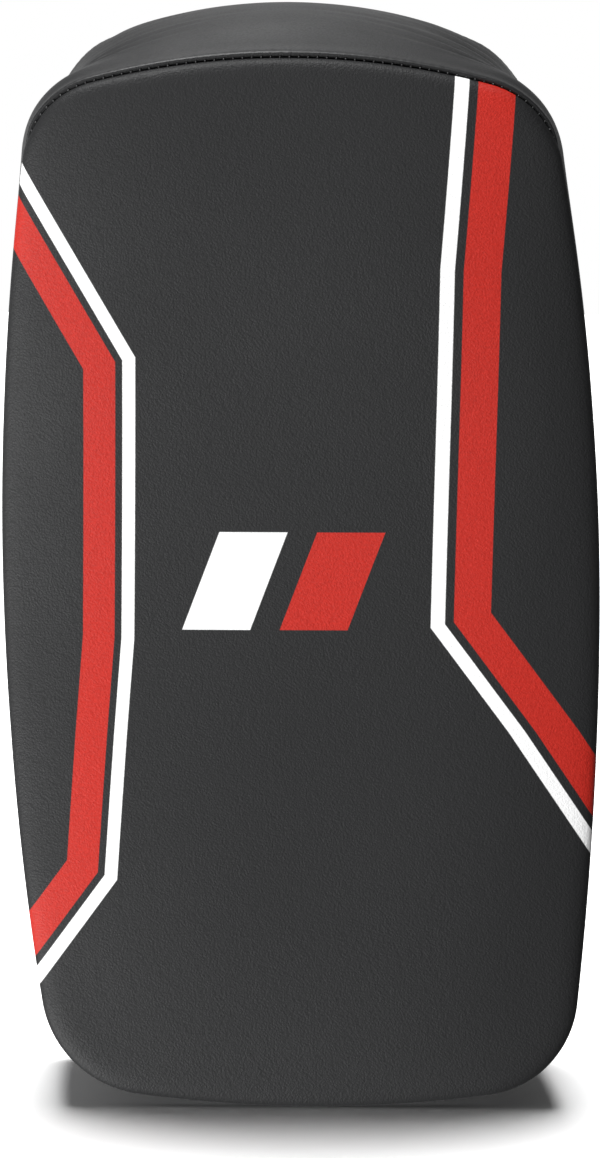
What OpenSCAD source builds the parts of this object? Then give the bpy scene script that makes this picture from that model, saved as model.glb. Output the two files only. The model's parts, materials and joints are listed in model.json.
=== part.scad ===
// Thai pad: a bent strike pad with three foam layers in a leather cover. Its back
// carries a forearm cushion, two arm straps closed by ring and tape, and a hand grip.
// The origin is the centre of the flat base, at mid thickness. The strike face looks
// along -Y, the straps and the grip stand out along +Y, and +Z is up.
// On the pad, x runs across, s runs up its middle layer, and d runs through its depth.

/* [Pad] */
// Height along the middle layer
pad_l = 370; // [360:1:380]
// Width at the widest level
pad_w = 203; // [198:1:210]
// Thickness from the front seam to the back seam
pad_t = 95; // [90:1:105]
// Rise of the strike face above its seam, at the middle
crown = 7; // [3:0.5:9]
// Radius of the upper end's curve
top_r = 270; // [250:10:450]
// Radius of the lower end's curve
base_r = 440; // [300:10:450]
// Radius of the sides above mid height
upper_side_r = 950; // [900:10:1400]
// Radius of the sides below mid height
lower_side_r = 1150; // [900:10:1400]
// Radius of the four corners
corner_r = 35; // [33:1:40]

/* [Bend] */
// Angle by which the upper end leans forwards
lean = 12; // [6:0.5:14]
// Height at which the bend begins
bend_from = 130; // [125:1:140]
// Height at which the bend ends
bend_to = 250; // [240:1:260]

/* [Layers] */
// Thickness of the cover leather
skin = 2; // [1.5:0.1:2.5]
// Thickness of the strike foam at its edge
strike_t = 25; // [20:1:30]
// Thickness of the core foam
core_t = 40; // [30:1:42]

/* [Forearm cushion] */
// Width of the cushion
cushion_w = 90; // [80:1:96]
// Thickness of the cushion at its middle
cushion_t = 14; // [12:0.5:15]
// Height at which the cushion begins
cushion_from = 42; // [40:1:50]
// Height at which the cushion ends
cushion_to = 256; // [245:1:260]
// Radius of the cushion's corners
cushion_r = 18; // [12:1:24]
// Thickness of the cushion's cover
cushion_skin = 1.5; // [1:0.1:2]

/* [Straps] */
// Width of a strap
strap_w = 50; // [44:1:51]
// Inner radius of a strap's padded arch
arch_r = 54; // [52:0.5:55]
// Height of the arch's centre above the pad's back
arch_h = 30; // [29:0.5:32]
// Thickness of the padding under a strap
padding_t = 4; // [3:0.5:4]
// Thickness of the strap leather
strap_t = 2; // [1.5:0.1:2]
// Thickness of the loop tape
loop_t = 2; // [1.5:0.1:2]
// Thickness of the hook tape
hook_t = 2.3; // [2:0.1:2.4]
// Height of the lower strap up the pad
lower_s = 85; // [80:1:90]
// Height of the upper strap up the pad
upper_s = 215; // [210:1:220]

/* [Rings] */
// Diameter of the ring's wire
wire = 4; // [3.5:0.1:4]
// Distance between the ring's two long bars, middle to middle
ring_h = 18; // [17:0.5:18]
// Distance between the ring's two short bars, middle to middle
ring_w = 56; // [56:0.5:58]

/* [Hand grip] */
// Height of the grip up the pad
grip_s = 305; // [300:1:310]
// Length of the grip's cover
grip_l = 100; // [96:1:100]
// Outer radius of the grip
grip_r = 14.5; // [13.5:0.5:15]
// Height of the grip's axis above the pad's back
grip_h = 54; // [50:1:58]
// Width of the leather legs
leg_w = 24; // [20:1:26]
// Thickness of the leather legs
leg_t = 5; // [4:0.5:5]

/* [Hidden] */
$fn = 96;
gap = 0.3;                        // clearance between layers and between moving pieces
levels = 36;                      // strips up the pad
columns = 10;                     // strips across a crowned face
end_flat = 1.5;                   // how much each end's curve is cut flat
gusset_level = 9;                 // level at which the side gusset meets the bottom one
half_l = pad_l / 2 + end_flat;
bend_r = (bend_to - bend_from) / (lean * PI / 180);
inner = skin + gap;
strike_back = -pad_t / 2 + skin + strike_t;
core_back = strike_back + gap + core_t;

// Forearm cushion
cushion_rows = 26;                // steps up each side of the cushion
loop_shares = [0.1, 0.3, 0.5, 0.7, 0.85, 0.95, 1];
edge_share = 0.45;                // height of the cushion's edge as a share of its middle

// Radii of a strap's layers about the arch's centre
band_in = arch_r + padding_t;
band_out = band_in + strap_t;
loop_out = band_out + loop_t;
hook_in = loop_out + gap;
hook_out = hook_in + hook_t;
tail_out = hook_out + strap_t;
band_start = 5;                   // angle where the band stops short of the ring
padding_end = 15;                 // angle by which the padding stops short of each side
arc_step = 5;                     // angle between the points of a strip's arc
tape_end = 20;                    // the same for the loop tape
hook_span = [25, 110];            // angles that the hook tape covers
tail_span = [5, 125];             // angles that the tail covers
foot_bend = 13;                   // radius of the band's turn on to its foot
foot_l = 20;                      // length of a sewn foot
patch_h = 60;                     // height of the patches beside a strap
patch_rim = 3;                    // how far a patch reaches past what it covers

// Ring, seen along its long bars
bar_x = hook_in;
bar_y = arch_h;
anchor_y = bar_y - ring_h;
loop_in = wire / 2 + gap;
tab_w = 44;                       // width of the ring's tab
tab_foot_x = 70;                  // where the tab's foot begins
fold_up = 3;                      // straight ends of the fold

// Hand grip
core_r = 9;
cover_t = 2;
plate_t = 2;                      // reinforcing patch under the feet
foot_t = 3;
foot_end = 90;                    // how far out the feet reach
leg_bend = 3;                     // inner radius of a leg's turn into the grip
leg_x = grip_l / 2 + 2 + leg_bend;
hinge_h = plate_t + 1 + leg_w / 2;
rivet_xs = [72, 83];
rivet_r = 2;
rivet_slack = 0.05;

// ---- the pad's own coordinates ----

// Lean of the pad at height s
function lean_at(s) = lean * min(1, max(0, (s - bend_from) / (bend_to - bend_from)));

// The middle layer at height s, as [y, z]
function spine(s) =
    let (a = lean_at(s), over = max(0, s - bend_to))
    s <= bend_from ? [0, s]
    : [-bend_r * (1 - cos(a)) - over * sin(a), bend_from + bend_r * sin(a) + over * cos(a)];

// A point of the pad in space
function place(x, d, s) =
    let (a = lean_at(s), p = spine(s))
    [x, p.x + d * cos(a), p.y + d * sin(a)];

// Centre of a corner's arc, with heights measured from mid height
function corner_at(side_r, end_r) =
    let (
        side = [pad_w / 2 - side_r, 0],
        across = [0, half_l - end_r] - side,
        far = norm(across),
        to_side = side_r - corner_r,
        to_end = end_r - corner_r,
        along = (to_side ^ 2 - to_end ^ 2 + far ^ 2) / (2 * far),
        off = sqrt(to_side ^ 2 - along ^ 2),
        u = across / far
    )
    side + along * u + off * [-u.y, u.x];

// Half the pad's width at height s, for an outline drawn in by inset
function half_width(s, inset = 0) =
    let (
        upper = s > pad_l / 2,
        t = abs(s - pad_l / 2),
        side_r = upper ? upper_side_r : lower_side_r,
        end_r = upper ? top_r : base_r,
        k = corner_at(side_r, end_r),
        end_t = half_l - end_r,
        side_stops = (side_r - inset) * k.y / (side_r - corner_r),
        end_starts = end_t + (end_r - inset) * (k.y - end_t) / (end_r - corner_r)
    )
    t < side_stops ? pad_w / 2 - side_r + sqrt((side_r - inset) ^ 2 - t ^ 2)
    : t < end_starts ? k.x + sqrt((corner_r - inset) ^ 2 - (t - k.y) ^ 2)
    : sqrt((end_r - inset) ^ 2 - (t - end_t) ^ 2);

// Height of level i, close together at the ends
function level(i, inset = 0) = inset + (pad_l - 2 * inset) * (1 - cos(180 * i / levels)) / 2;

// Share of the strike face's crown at a point
function crown_at(x, s) =
    let (u = x / half_width(s), v = 2 * s / pad_l - 1)
    (1 - u ^ 4) * (1 - v ^ 6);

// Closed solid between two grids of points with the same rows and columns
module between(outer, inner) {
    rows = len(outer);
    cols = len(outer[0]);
    function at(side, i, j) = (side * rows + i) * cols + j;
    quads = concat(
        [for (i = [0:rows - 2], j = [0:cols - 2])
            [at(0, i, j), at(0, i + 1, j), at(0, i + 1, j + 1), at(0, i, j + 1)]],
        [for (i = [0:rows - 2], j = [0:cols - 2])
            [at(1, i, j), at(1, i, j + 1), at(1, i + 1, j + 1), at(1, i + 1, j)]],
        [for (i = [0:rows - 2]) [at(1, i, 0), at(1, i + 1, 0), at(0, i + 1, 0), at(0, i, 0)]],
        [for (i = [0:rows - 2], j = cols - 1)
            [at(0, i, j), at(0, i + 1, j), at(1, i + 1, j), at(1, i, j)]],
        [for (j = [0:cols - 2]) [at(0, 0, j), at(0, 0, j + 1), at(1, 0, j + 1), at(1, 0, j)]],
        [for (j = [0:cols - 2], i = rows - 1)
            [at(0, i, j + 1), at(0, i, j), at(1, i, j), at(1, i, j + 1)]]
    );
    polyhedron(
        [for (grid = [outer, inner], row = grid, point = row) point],
        [for (q = quads, t = [[q[0], q[1], q[2]], [q[0], q[2], q[3]]]) t]
    );
}

// Layer of the pad between two depths, either of which can carry a crown
module layer(front, back, inset = 0, front_crown = 0, back_crown = 0) {
    cols = front_crown + back_crown > 0 ? columns : 1;
    function sheet(depth, rise) = [for (i = [0:levels])
        let (s = level(i, inset), w = half_width(s, inset))
        [for (j = [0:cols])
            let (x = -w * cos(180 * j / cols))
            place(x, depth - rise * crown_at(x, s), s)]];
    between(sheet(front, front_crown), sheet(back, back_crown));
}

// Puts what is drawn on a flat back, x across and y outwards, on the pad's back at height s
module on_back(s) {
    translate(place(0, pad_t / 2, s)) rotate([lean_at(s), 0, 0]) children();
}

// ---- covers ----

module face_cover() {
    color("#242424")
    layer(-pad_t / 2, -pad_t / 2 + skin, 0, crown, crown);
}

module back_cover() {
    color("#202020")
    layer(pad_t / 2 - skin, pad_t / 2);
}

module side_gusset() {
    function up_and_over(inset) = concat(
        [for (i = [gusset_level:levels]) [half_width(level(i, inset), inset), level(i, inset)]],
        [for (i = [levels:-1:gusset_level]) [-half_width(level(i, inset), inset), level(i, inset)]]
    );
    function strip(inset) = [for (p = up_and_over(inset))
        [for (d = [-1, 1] * (pad_t / 2 - skin)) place(p.x, d, p.y)]];
    color("#2a2a2a")
    between(strip(0), strip(skin));
}

module bottom_gusset() {
    function half_edge(inset) = [for (i = [0:gusset_level])
        [half_width(level(i, inset), inset), level(i, inset)]];
    outer = half_edge(0);
    inside = half_edge(skin);
    n = gusset_level;
    outline = concat(
        [for (i = [n:-1:0]) [-outer[i].x, outer[i].y]],
        outer,
        [for (i = [n:-1:0]) inside[i]],
        [for (i = [0:n]) [-inside[i].x, inside[i].y]]
    );
    color("#262626")
    rotate([90, 0, 0]) linear_extrude(pad_t - 2 * skin, center = true) polygon(outline);
}

// ---- foam ----

module strike_foam() {
    color("#c9cdd2")
    layer(-pad_t / 2 + inner, strike_back, inner, crown, 0);
}

module core_foam() {
    color("#8d9299")
    layer(strike_back + gap, core_back, inner);
}

module back_foam() {
    color("#5c6168")
    layer(core_back + gap, pad_t / 2 - inner, inner);
}

// ---- forearm cushion ----

// Skin over a row of closed loops, closed at both ends by a fan
module loft(loops) {
    n = len(loops[0]);
    last = len(loops) - 1;
    function at(i, j) = i * n + (j % n);
    polyhedron(
        [for (loop = loops, point = loop) point],
        concat(
            [for (i = [0:last - 1], j = [0:n - 1]) [at(i, j), at(i + 1, j), at(i + 1, j + 1)]],
            [for (i = [0:last - 1], j = [0:n - 1]) [at(i, j), at(i + 1, j + 1), at(i, j + 1)]],
            [for (j = [1:n - 2]) [at(0, 0), at(0, j), at(0, j + 1)]],
            [for (j = [1:n - 2]) [at(last, 0), at(last, j + 1), at(last, j)]]
        )
    );
}

// Loop of the cushion's outline, drawn in by inset, shrunk to share k and raised by height
function cushion_loop(inset, k, height) =
    let (
        middle = (cushion_from + cushion_to) / 2,
        half = (cushion_to - cushion_from) / 2 - inset,
        r = cushion_r - inset,
        heights = [for (i = [0:cushion_rows]) -half * cos(180 * i / cushion_rows)],
        widths = [for (h = heights)
            let (e = min(half - abs(h), r))
            cushion_w / 2 - cushion_r + sqrt(max(0, r ^ 2 - (r - e) ^ 2))]
    )
    [for (side = [1, -1], i = [0:cushion_rows])
        let (row = side > 0 ? i : cushion_rows - i)
        place(k * side * widths[row], pad_t / 2 + height, middle + k * heights[row])];

// The same loop on the cushion's crowned top
function top_loop(inset, k) =
    cushion_loop(inset, k, (cushion_t - inset) * (edge_share + (1 - edge_share) * (1 - k ^ 4)));

module forearm_cushion() {
    color("#1f1f1f")
    loft(concat(
        [for (k = loop_shares) top_loop(cushion_skin, k)],
        [cushion_loop(cushion_skin, 1, gap / 2), cushion_loop(0, 1, gap / 2)],
        [for (i = [len(loop_shares) - 1:-1:0]) top_loop(0, loop_shares[i])]
    ));
}

module forearm_foam() {
    in = cushion_skin + gap;
    color("#c9cdd2")
    loft(concat(
        [for (k = loop_shares) cushion_loop(in, k, gap / 2)],
        [for (i = [len(loop_shares) - 1:-1:0]) top_loop(in, loop_shares[i])]
    ));
}

// ---- straps, drawn on a flat back ----

// Part of a ring about the origin, between two angles
module turn(r_in, r_out, from, to, w) {
    rotate([0, 0, from])
    rotate_extrude(angle = to - from)
    translate([r_in, -w / 2]) square([r_out - r_in, w]);
}

module block(x, y, z) {
    translate([x[0], y[0], z[0]]) cube([x[1] - x[0], y[1] - y[0], z[1] - z[0]]);
}

// Points along an arc, from one angle to another
function arc(centre, r, from, to) =
    let (steps = ceil(abs(to - from) / arc_step))
    [for (i = [0:steps]) let (a = from + (to - from) * i / steps) centre + r * [cos(a), sin(a)]];

// Strip of leather that follows a path, seen along its width w
module ribbon(path, t, w) {
    n = len(path);
    function along(i) =
        let (step = path[min(i + 1, n - 1)] - path[max(i - 1, 0)]) step / norm(step);
    function edge(side) = [for (i = [0:n - 1])
        path[i] + side * t / 2 * [-along(i).y, along(i).x]];
    left = edge(1);
    right = edge(-1);
    linear_extrude(w, center = true) polygon(concat(left, [for (i = [n - 1:-1:0]) right[i]]));
}

// Strip that lies along the arch between two radii and two angles
module arch_strip(r_in, r_out, from, to, w) {
    ribbon(arc([0, arch_h], (r_in + r_out) / 2, from, to), r_out - r_in, w);
}

module strap_band() {
    r = (band_in + band_out) / 2;
    rise = foot_bend + strap_t / 2;
    color("#262626")
    ribbon(concat(
        arc([0, arch_h], r, band_start, 180),
        arc([-r - foot_bend, rise], foot_bend, 0, -90),
        [[-r - foot_bend - foot_l, strap_t / 2]]
    ), strap_t, strap_w);
}

module strap_padding() {
    color("#303030")
    arch_strip(arch_r, band_in, padding_end, 180 - padding_end, strap_w - 2);
}

module loop_tape() {
    color("#161616")
    arch_strip(band_out, loop_out, tape_end, 180 - tape_end, strap_w - 4);
}

module hook_tape() {
    color("#141414")
    arch_strip(hook_in, hook_out, hook_span[0], hook_span[1], strap_w - 4);
}

module strap_tail() {
    color("#262626")
    arch_strip(hook_out, tail_out, tail_span[0], tail_span[1], strap_w);
}

// Leather patch over a sewn foot, from x = near to x = far, with the foot's pocket under it
module patch(near, far, cover_w, cover_t) {
    z = patch_h / 2;
    difference() {
        block([near, far], [0, cover_t + strap_t], [-z, z]);
        block([near - 1, far - patch_rim], [-1, cover_t], [-cover_w / 2, cover_w / 2]);
    }
}

module strap_patch() {
    foot_x = band_in + strap_t / 2 + foot_bend;
    color("#1e1e1e")
    mirror([1, 0, 0]) patch(foot_x + 2, foot_x + foot_l + patch_rim, strap_w, strap_t);
}

module ring_tab() {
    tab_t = 2 * strap_t;
    neck = [tab_foot_x + tab_t / 2 - bar_x, tab_t / 2 - anchor_y];
    color("#262626")
    linear_extrude(tab_w, center = true) {
        translate([bar_x, anchor_y]) difference() {
            union() {
                circle(r = loop_in + strap_t);
                rotate(atan2(neck.y, neck.x)) translate([0, -tab_t / 2]) square([norm(neck), tab_t]);
            }
            circle(r = loop_in);
        }
        translate([tab_foot_x, 0]) square([foot_l, tab_t]);
    }
}

module ring_patch() {
    color("#1e1e1e")
    patch(tab_foot_x + 4, tab_foot_x + foot_l + patch_rim, tab_w, 2 * strap_t);
}

module ring() {
    color("#b9bcc0")
    for (side = [-1, 1]) {
        translate([bar_x, side > 0 ? bar_y : anchor_y, 0])
            cylinder(h = ring_w, d = wire, center = true);
        translate([bar_x, anchor_y, side * ring_w / 2]) {
            sphere(d = wire);
            translate([0, ring_h, 0]) sphere(d = wire);
            rotate([-90, 0, 0]) cylinder(h = ring_h, d = wire);
        }
    }
}

module strap_fold() {
    r = loop_in + strap_t;
    z = [-strap_w / 2, strap_w / 2];
    color("#262626")
    translate([bar_x, bar_y, 0]) {
        turn(loop_in, r, 180, 360, strap_w);
        block([-r, -loop_in], [0, fold_up], z);
        block([loop_in, r], [0, fold_up], z);
    }
}

// ---- hand grip, drawn on a flat back ----

// Bar along x at the grip's axis
module grip_bar(l, r) {
    translate([0, grip_h, 0]) rotate([0, 90, 0]) cylinder(h = l, r = r, center = true);
}

module grip_core() {
    color("#7a5c3a")
    grip_bar(grip_l - 2 * cover_t, core_r);
}

module grip_padding() {
    color("#9aa0a6")
    difference() {
        grip_bar(grip_l - 2 * cover_t, grip_r - cover_t);
        grip_bar(grip_l, core_r);
    }
}

module grip_cover() {
    color("#262626")
    difference() {
        grip_bar(grip_l, grip_r);
        grip_bar(grip_l - 2 * cover_t, grip_r - cover_t);
    }
}

// Flat plate across x with a round end about the legs' hinge line, up to height top
module ear(near, far, bottom, top) {
    translate([near, 0, 0]) rotate([90, 0, 90]) linear_extrude(far - near) {
        translate([hinge_h, 0]) circle(d = leg_w);
        translate([bottom, -leg_w / 2]) square([top - bottom, leg_w]);
    }
}

module grip_leg() {
    turn_y = grip_h - leg_t / 2 - leg_bend;
    turn_x = leg_x - leg_bend;
    color("#262626") {
        ear(leg_x, leg_x + leg_t, hinge_h, turn_y);
        translate([turn_x, turn_y, 0]) turn(leg_bend, leg_bend + leg_t, 0, 90, leg_w);
        block([grip_l / 2, turn_x], [grip_h - leg_t / 2, grip_h + leg_t / 2], [-leg_w / 2, leg_w / 2]);
    }
}

module grip_foot() {
    ear_x = leg_x + leg_t + 0.5;
    color("#262626")
    difference() {
        union() {
            ear(ear_x, ear_x + foot_t, plate_t, hinge_h);
            block([ear_x, foot_end], [plate_t, plate_t + foot_t], [-leg_w / 2, leg_w / 2]);
        }
        rivet_shanks(rivet_r + rivet_slack);
    }
}

// Shanks of one side's rivets
module rivet_shanks(r) {
    for (x = rivet_xs)
        translate([x, 0, 0]) rotate([-90, 0, 0]) cylinder(h = plate_t + foot_t, r = r);
}

module grip_patch() {
    z = leg_w / 2 + patch_rim;
    color("#1e1e1e")
    difference() {
        block([-foot_end - patch_rim, foot_end + patch_rim], [0, plate_t], [-z, z]);
        rivet_shanks(rivet_r + rivet_slack);
        mirror([1, 0, 0]) rivet_shanks(rivet_r + rivet_slack);
    }
}

module grip_rivets() {
    head_r = 4.5;
    head_t = 1.6;
    color("#b9bcc0")
    for (side = [0, 1]) mirror([side, 0, 0]) {
        rivet_shanks(rivet_r);
        for (x = rivet_xs)
            translate([x, plate_t + foot_t, 0]) rotate([-90, 0, 0])
                cylinder(h = head_t, r1 = head_r, r2 = head_r - 1);
    }
}

face_cover();
side_gusset();
bottom_gusset();
back_cover();
strike_foam();
core_foam();
back_foam();
forearm_cushion();
forearm_foam();
on_back(lower_s) strap_band();  // lower_strap_band
on_back(lower_s) strap_padding();  // lower_strap_padding
on_back(lower_s) loop_tape();  // lower_loop_tape
on_back(lower_s) strap_patch();  // lower_strap_patch
on_back(lower_s) ring_tab();  // lower_ring_tab
on_back(lower_s) ring_patch();  // lower_ring_patch
on_back(lower_s) ring();  // lower_ring
on_back(lower_s) strap_fold();  // lower_strap_fold
on_back(lower_s) strap_tail();  // lower_strap_tail
on_back(lower_s) hook_tape();  // lower_hook_tape
on_back(upper_s) strap_band();  // upper_strap_band
on_back(upper_s) strap_padding();  // upper_strap_padding
on_back(upper_s) loop_tape();  // upper_loop_tape
on_back(upper_s) strap_patch();  // upper_strap_patch
on_back(upper_s) ring_tab();  // upper_ring_tab
on_back(upper_s) ring_patch();  // upper_ring_patch
on_back(upper_s) ring();  // upper_ring
on_back(upper_s) strap_fold();  // upper_strap_fold
on_back(upper_s) strap_tail();  // upper_strap_tail
on_back(upper_s) hook_tape();  // upper_hook_tape
on_back(grip_s) grip_core();
on_back(grip_s) grip_padding();
on_back(grip_s) grip_cover();
on_back(grip_s) mirror([1, 0, 0]) grip_leg();  // grip_leg_left
on_back(grip_s) grip_leg();  // grip_leg_right
on_back(grip_s) mirror([1, 0, 0]) grip_foot();  // grip_foot_left
on_back(grip_s) grip_foot();  // grip_foot_right
on_back(grip_s) grip_patch();
on_back(grip_s) grip_rivets();
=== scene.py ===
import json
import math

import bmesh
import bpy
import numpy as np
from mathutils import Matrix, Vector

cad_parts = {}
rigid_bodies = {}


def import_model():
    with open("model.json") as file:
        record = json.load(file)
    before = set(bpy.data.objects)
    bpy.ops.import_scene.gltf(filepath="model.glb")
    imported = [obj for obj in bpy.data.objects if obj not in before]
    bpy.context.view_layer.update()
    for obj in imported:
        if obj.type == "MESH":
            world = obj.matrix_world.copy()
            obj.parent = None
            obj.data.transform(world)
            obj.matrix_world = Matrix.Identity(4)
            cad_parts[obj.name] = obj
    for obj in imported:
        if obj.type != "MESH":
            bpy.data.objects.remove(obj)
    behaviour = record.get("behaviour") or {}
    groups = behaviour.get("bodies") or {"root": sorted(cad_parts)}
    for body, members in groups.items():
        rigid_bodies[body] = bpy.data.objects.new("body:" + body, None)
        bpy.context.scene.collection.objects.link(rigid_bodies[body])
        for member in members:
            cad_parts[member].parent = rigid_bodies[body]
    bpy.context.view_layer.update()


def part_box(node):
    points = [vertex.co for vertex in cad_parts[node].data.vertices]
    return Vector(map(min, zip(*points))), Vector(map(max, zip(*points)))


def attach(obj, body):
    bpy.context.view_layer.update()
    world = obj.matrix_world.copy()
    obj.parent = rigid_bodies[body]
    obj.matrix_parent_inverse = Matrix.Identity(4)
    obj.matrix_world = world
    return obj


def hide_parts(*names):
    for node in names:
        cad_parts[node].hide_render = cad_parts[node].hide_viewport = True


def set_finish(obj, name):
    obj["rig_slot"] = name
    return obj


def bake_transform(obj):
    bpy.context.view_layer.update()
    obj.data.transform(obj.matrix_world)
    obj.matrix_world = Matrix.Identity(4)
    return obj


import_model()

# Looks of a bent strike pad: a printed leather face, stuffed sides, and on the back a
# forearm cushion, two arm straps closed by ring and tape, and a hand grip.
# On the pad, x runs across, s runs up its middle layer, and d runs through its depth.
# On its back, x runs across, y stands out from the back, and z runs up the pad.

MM = 0.001

# ---- measures ----

# The pad
PAD_L = 370 * MM
PAD_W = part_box("face_cover")[1][0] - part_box("face_cover")[0][0]
PAD_T = 95 * MM
HALF_L, HALF_T = PAD_L / 2, PAD_T / 2
LEAN = math.radians(12)
BEND_FROM, BEND_TO = 130 * MM, 250 * MM
BEND_R = (BEND_TO - BEND_FROM) / LEAN
TOP_R, BASE_R = 263 * MM, 438 * MM
UPPER_SIDE_R, LOWER_SIDE_R = 951 * MM, 1147 * MM
TOP_CORNER_R, BASE_CORNER_R = 32 * MM, 37 * MM
SKIN = 2 * MM
RECESS = 6 * MM                  # how far the upper corners draw in behind the face
SIDE_SEAM_S = 54.2 * MM          # height at which the side and bottom gussets are sewn together
HALF_STEPS = 690                 # steps up one side of the outline
PITCH = 3.1 * MM                 # length of one stitch of the cover's seams

# Straps, rings and grip, measured on the back
LOWER_S, UPPER_S, GRIP_S = 85 * MM, 215 * MM, 305 * MM
ARCH_H = 30 * MM
BAND_R, LOOP_R, HOOK_R, TAIL_R = 59 * MM, 61 * MM, 63.45 * MM, 65.6 * MM
PADDING_R, PADDING_T = 56 * MM, 4 * MM
STRAP_W, STRAP_T = 50 * MM, 2 * MM
BAR_X, ANCHOR_Y = 62.3 * MM, 12 * MM
FOLD_R = 3.3 * MM                # how close the leather's middle runs round a bar
GRIP_H, GRIP_L, GRIP_R = 54 * MM, 100 * MM, 14.5 * MM
LEG_W = 24 * MM


def smooth_step(x, low, high):
    """0 below low, 1 above high, with a smooth rise between."""
    t = np.clip((x - low) / (high - low), 0, 1)
    return t * t * (3 - 2 * t)


# ---- the pad's own coordinates ----

def place(x, d, s):
    """Point in space of a point of the pad."""
    a = LEAN * np.clip((s - BEND_FROM) / (BEND_TO - BEND_FROM), 0, 1)
    over = np.maximum(0, s - BEND_TO)
    y = -BEND_R * (1 - np.cos(a)) - over * np.sin(a)
    z = np.minimum(s, BEND_FROM) + BEND_R * np.sin(a) + over * np.cos(a)
    return np.stack(np.broadcast_arrays(x, y + d * np.cos(a), z + d * np.sin(a)), -1)


def on_back(s, local):
    """Points drawn on a flat back, put on the pad's back at height s."""
    a = LEAN * min(1, max(0, (s - BEND_FROM) / (BEND_TO - BEND_FROM)))
    local = np.asarray(local, float)
    x, y, z = local[..., 0], local[..., 1], local[..., 2]
    turned = np.stack([x, y * math.cos(a) - z * math.sin(a), y * math.sin(a) + z * math.cos(a)], -1)
    return turned + place(0.0, HALF_T, s)


def skew(d, s):
    """How far the hand-cut cover leans out of true. Low down it fades towards the back."""
    v = (s - HALF_L) / HALF_L
    fade = (0.5 + d / PAD_T) * (1 - smooth_step(s, 150 * MM, 300 * MM))
    return -(3.6 * v + 1.3 * v ** 3) * MM * (1 - fade)


def draw_in(gone, d):
    """How far the upper corners draw in behind the face."""
    corner = np.exp(-((np.abs(gone) - 90 * MM) / (25 * MM)) ** 2)
    return RECESS * corner * smooth_step(d, -34 * MM, -12 * MM)


# ---- outlines ----

class Outline:
    """A closed outline with its outward normals, and the point of its middle line for each."""

    def __init__(self, points, normals, middle):
        self.points, self.normals, self.middle = points, normals, middle

    def rings(self, insets, shares):
        """Rings from the outline in to the middle line: by inset, then by share of the rest."""
        rows = [self.points - t * self.normals for t in insets]
        last = rows[-1]
        rows += [last + (self.middle - last) * k for k in shares]
        rest = np.hypot(*(self.middle - last).T)
        depth = [np.full(len(last), t) for t in insets] + [insets[-1] + rest * k for k in shares]
        return np.array(rows), np.array(depth)

    def thinned(self, step):
        return Outline(self.points[::step], self.normals[::step], self.middle[::step])


def arc(centre, r, start, end, n):
    """Points and normals along an arc, without its last point."""
    a = np.linspace(start, end, n, endpoint=False)
    way = np.stack([np.cos(a), np.sin(a)], -1)
    return np.asarray(centre) + r * way, way


def quarter(side_r, end_r, corner_r):
    """A quarter of the pad's outline, from the middle of a side to the middle of an end."""
    side, end = np.array([PAD_W / 2 - side_r, 0]), np.array([0, HALF_L - end_r])
    across = end - side
    far = np.hypot(*across)
    u = across / far
    to_side, to_end = side_r - corner_r, end_r - corner_r
    along = (to_side ** 2 - to_end ** 2 + far ** 2) / (2 * far)
    k = side + along * u + math.sqrt(to_side ** 2 - along ** 2) * np.array([-u[1], u[0]])
    leaves = math.atan2(*(k - side)[::-1])
    joins = math.atan2(*(k - end)[::-1])
    arcs = [arc(side, side_r, 0, leaves, 400), arc(k, corner_r, leaves, joins, 200),
            arc(end, end_r, joins, math.pi / 2, 300),
            (np.array([[0, HALF_L]]), np.array([[0.0, 1.0]]))]
    return np.concatenate([a[0] for a in arcs]), np.concatenate([a[1] for a in arcs])


def even(points, normals, n):
    """The same path with n + 1 points at even distances."""
    gone = np.concatenate([[0], np.cumsum(np.hypot(*np.diff(points, axis=0).T))])
    at = np.linspace(0, gone[-1], n + 1)
    p = np.stack([np.interp(at, gone, c) for c in points.T], -1)
    q = np.stack([np.interp(at, gone, c) for c in normals.T], -1)
    return p, q / np.hypot(*q.T)[:, None], gone[-1]


def pad_outline():
    """The pad's outline from the middle of its base, and distance from the top's middle."""
    low, low_n = quarter(LOWER_SIDE_R, BASE_R, BASE_CORNER_R)
    up, up_n = quarter(UPPER_SIDE_R, TOP_R, TOP_CORNER_R)
    low, low_n = low[::-1] * [1, -1], low_n[::-1] * [1, -1]
    half, half_n = np.concatenate([low[:-1], up]), np.concatenate([low_n[:-1], up_n])
    half, half_n, length = even(half, half_n, HALF_STEPS)
    points = np.concatenate([half, half[-2:0:-1] * [-1, 1]]) + [0, HALF_L]
    normals = np.concatenate([half_n, half_n[-2:0:-1] * [-1, 1]])
    middle = np.stack([0 * points[:, 0], np.clip(points[:, 1], 62 * MM, 305 * MM)], -1)
    step = length / HALF_STEPS
    return Outline(points, normals, middle), (np.arange(2 * HALF_STEPS) - HALF_STEPS) * step


def rounded_rectangle(half_x, half_y, r, steps=10, run=2.5 * MM):
    """Outline of a rectangle with round corners, about the origin."""
    points, normals = [], []
    for corner, (sx, sy) in enumerate([(1, 1), (-1, 1), (-1, -1), (1, -1)]):
        a = np.linspace(corner, corner + 1, steps + 1) * math.pi / 2
        way = np.stack([np.cos(a), np.sin(a)], -1)
        points.append(np.array([sx * (half_x - r), sy * (half_y - r)]) + r * way)
        normals.append(way)
    filled, filled_n = [], []
    for i in range(4):
        filled.append(points[i])
        filled_n.append(normals[i])
        a, b = points[i][-1], points[(i + 1) % 4][0]
        n = max(1, int(np.hypot(*(b - a)) / run))
        between = a + (b - a) * (np.arange(1, n) / n)[:, None]
        filled.append(between)
        filled_n.append(np.repeat(normals[i][-1:], n - 1, axis=0))
    points, normals = np.concatenate(filled), np.concatenate(filled_n)
    reach = half_x - half_y
    line = np.clip(points, *(np.array([[-1, -1], [1, 1]]) * [max(0, reach), max(0, -reach)]))
    return Outline(points, normals, line)


# ---- meshes ----

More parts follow.
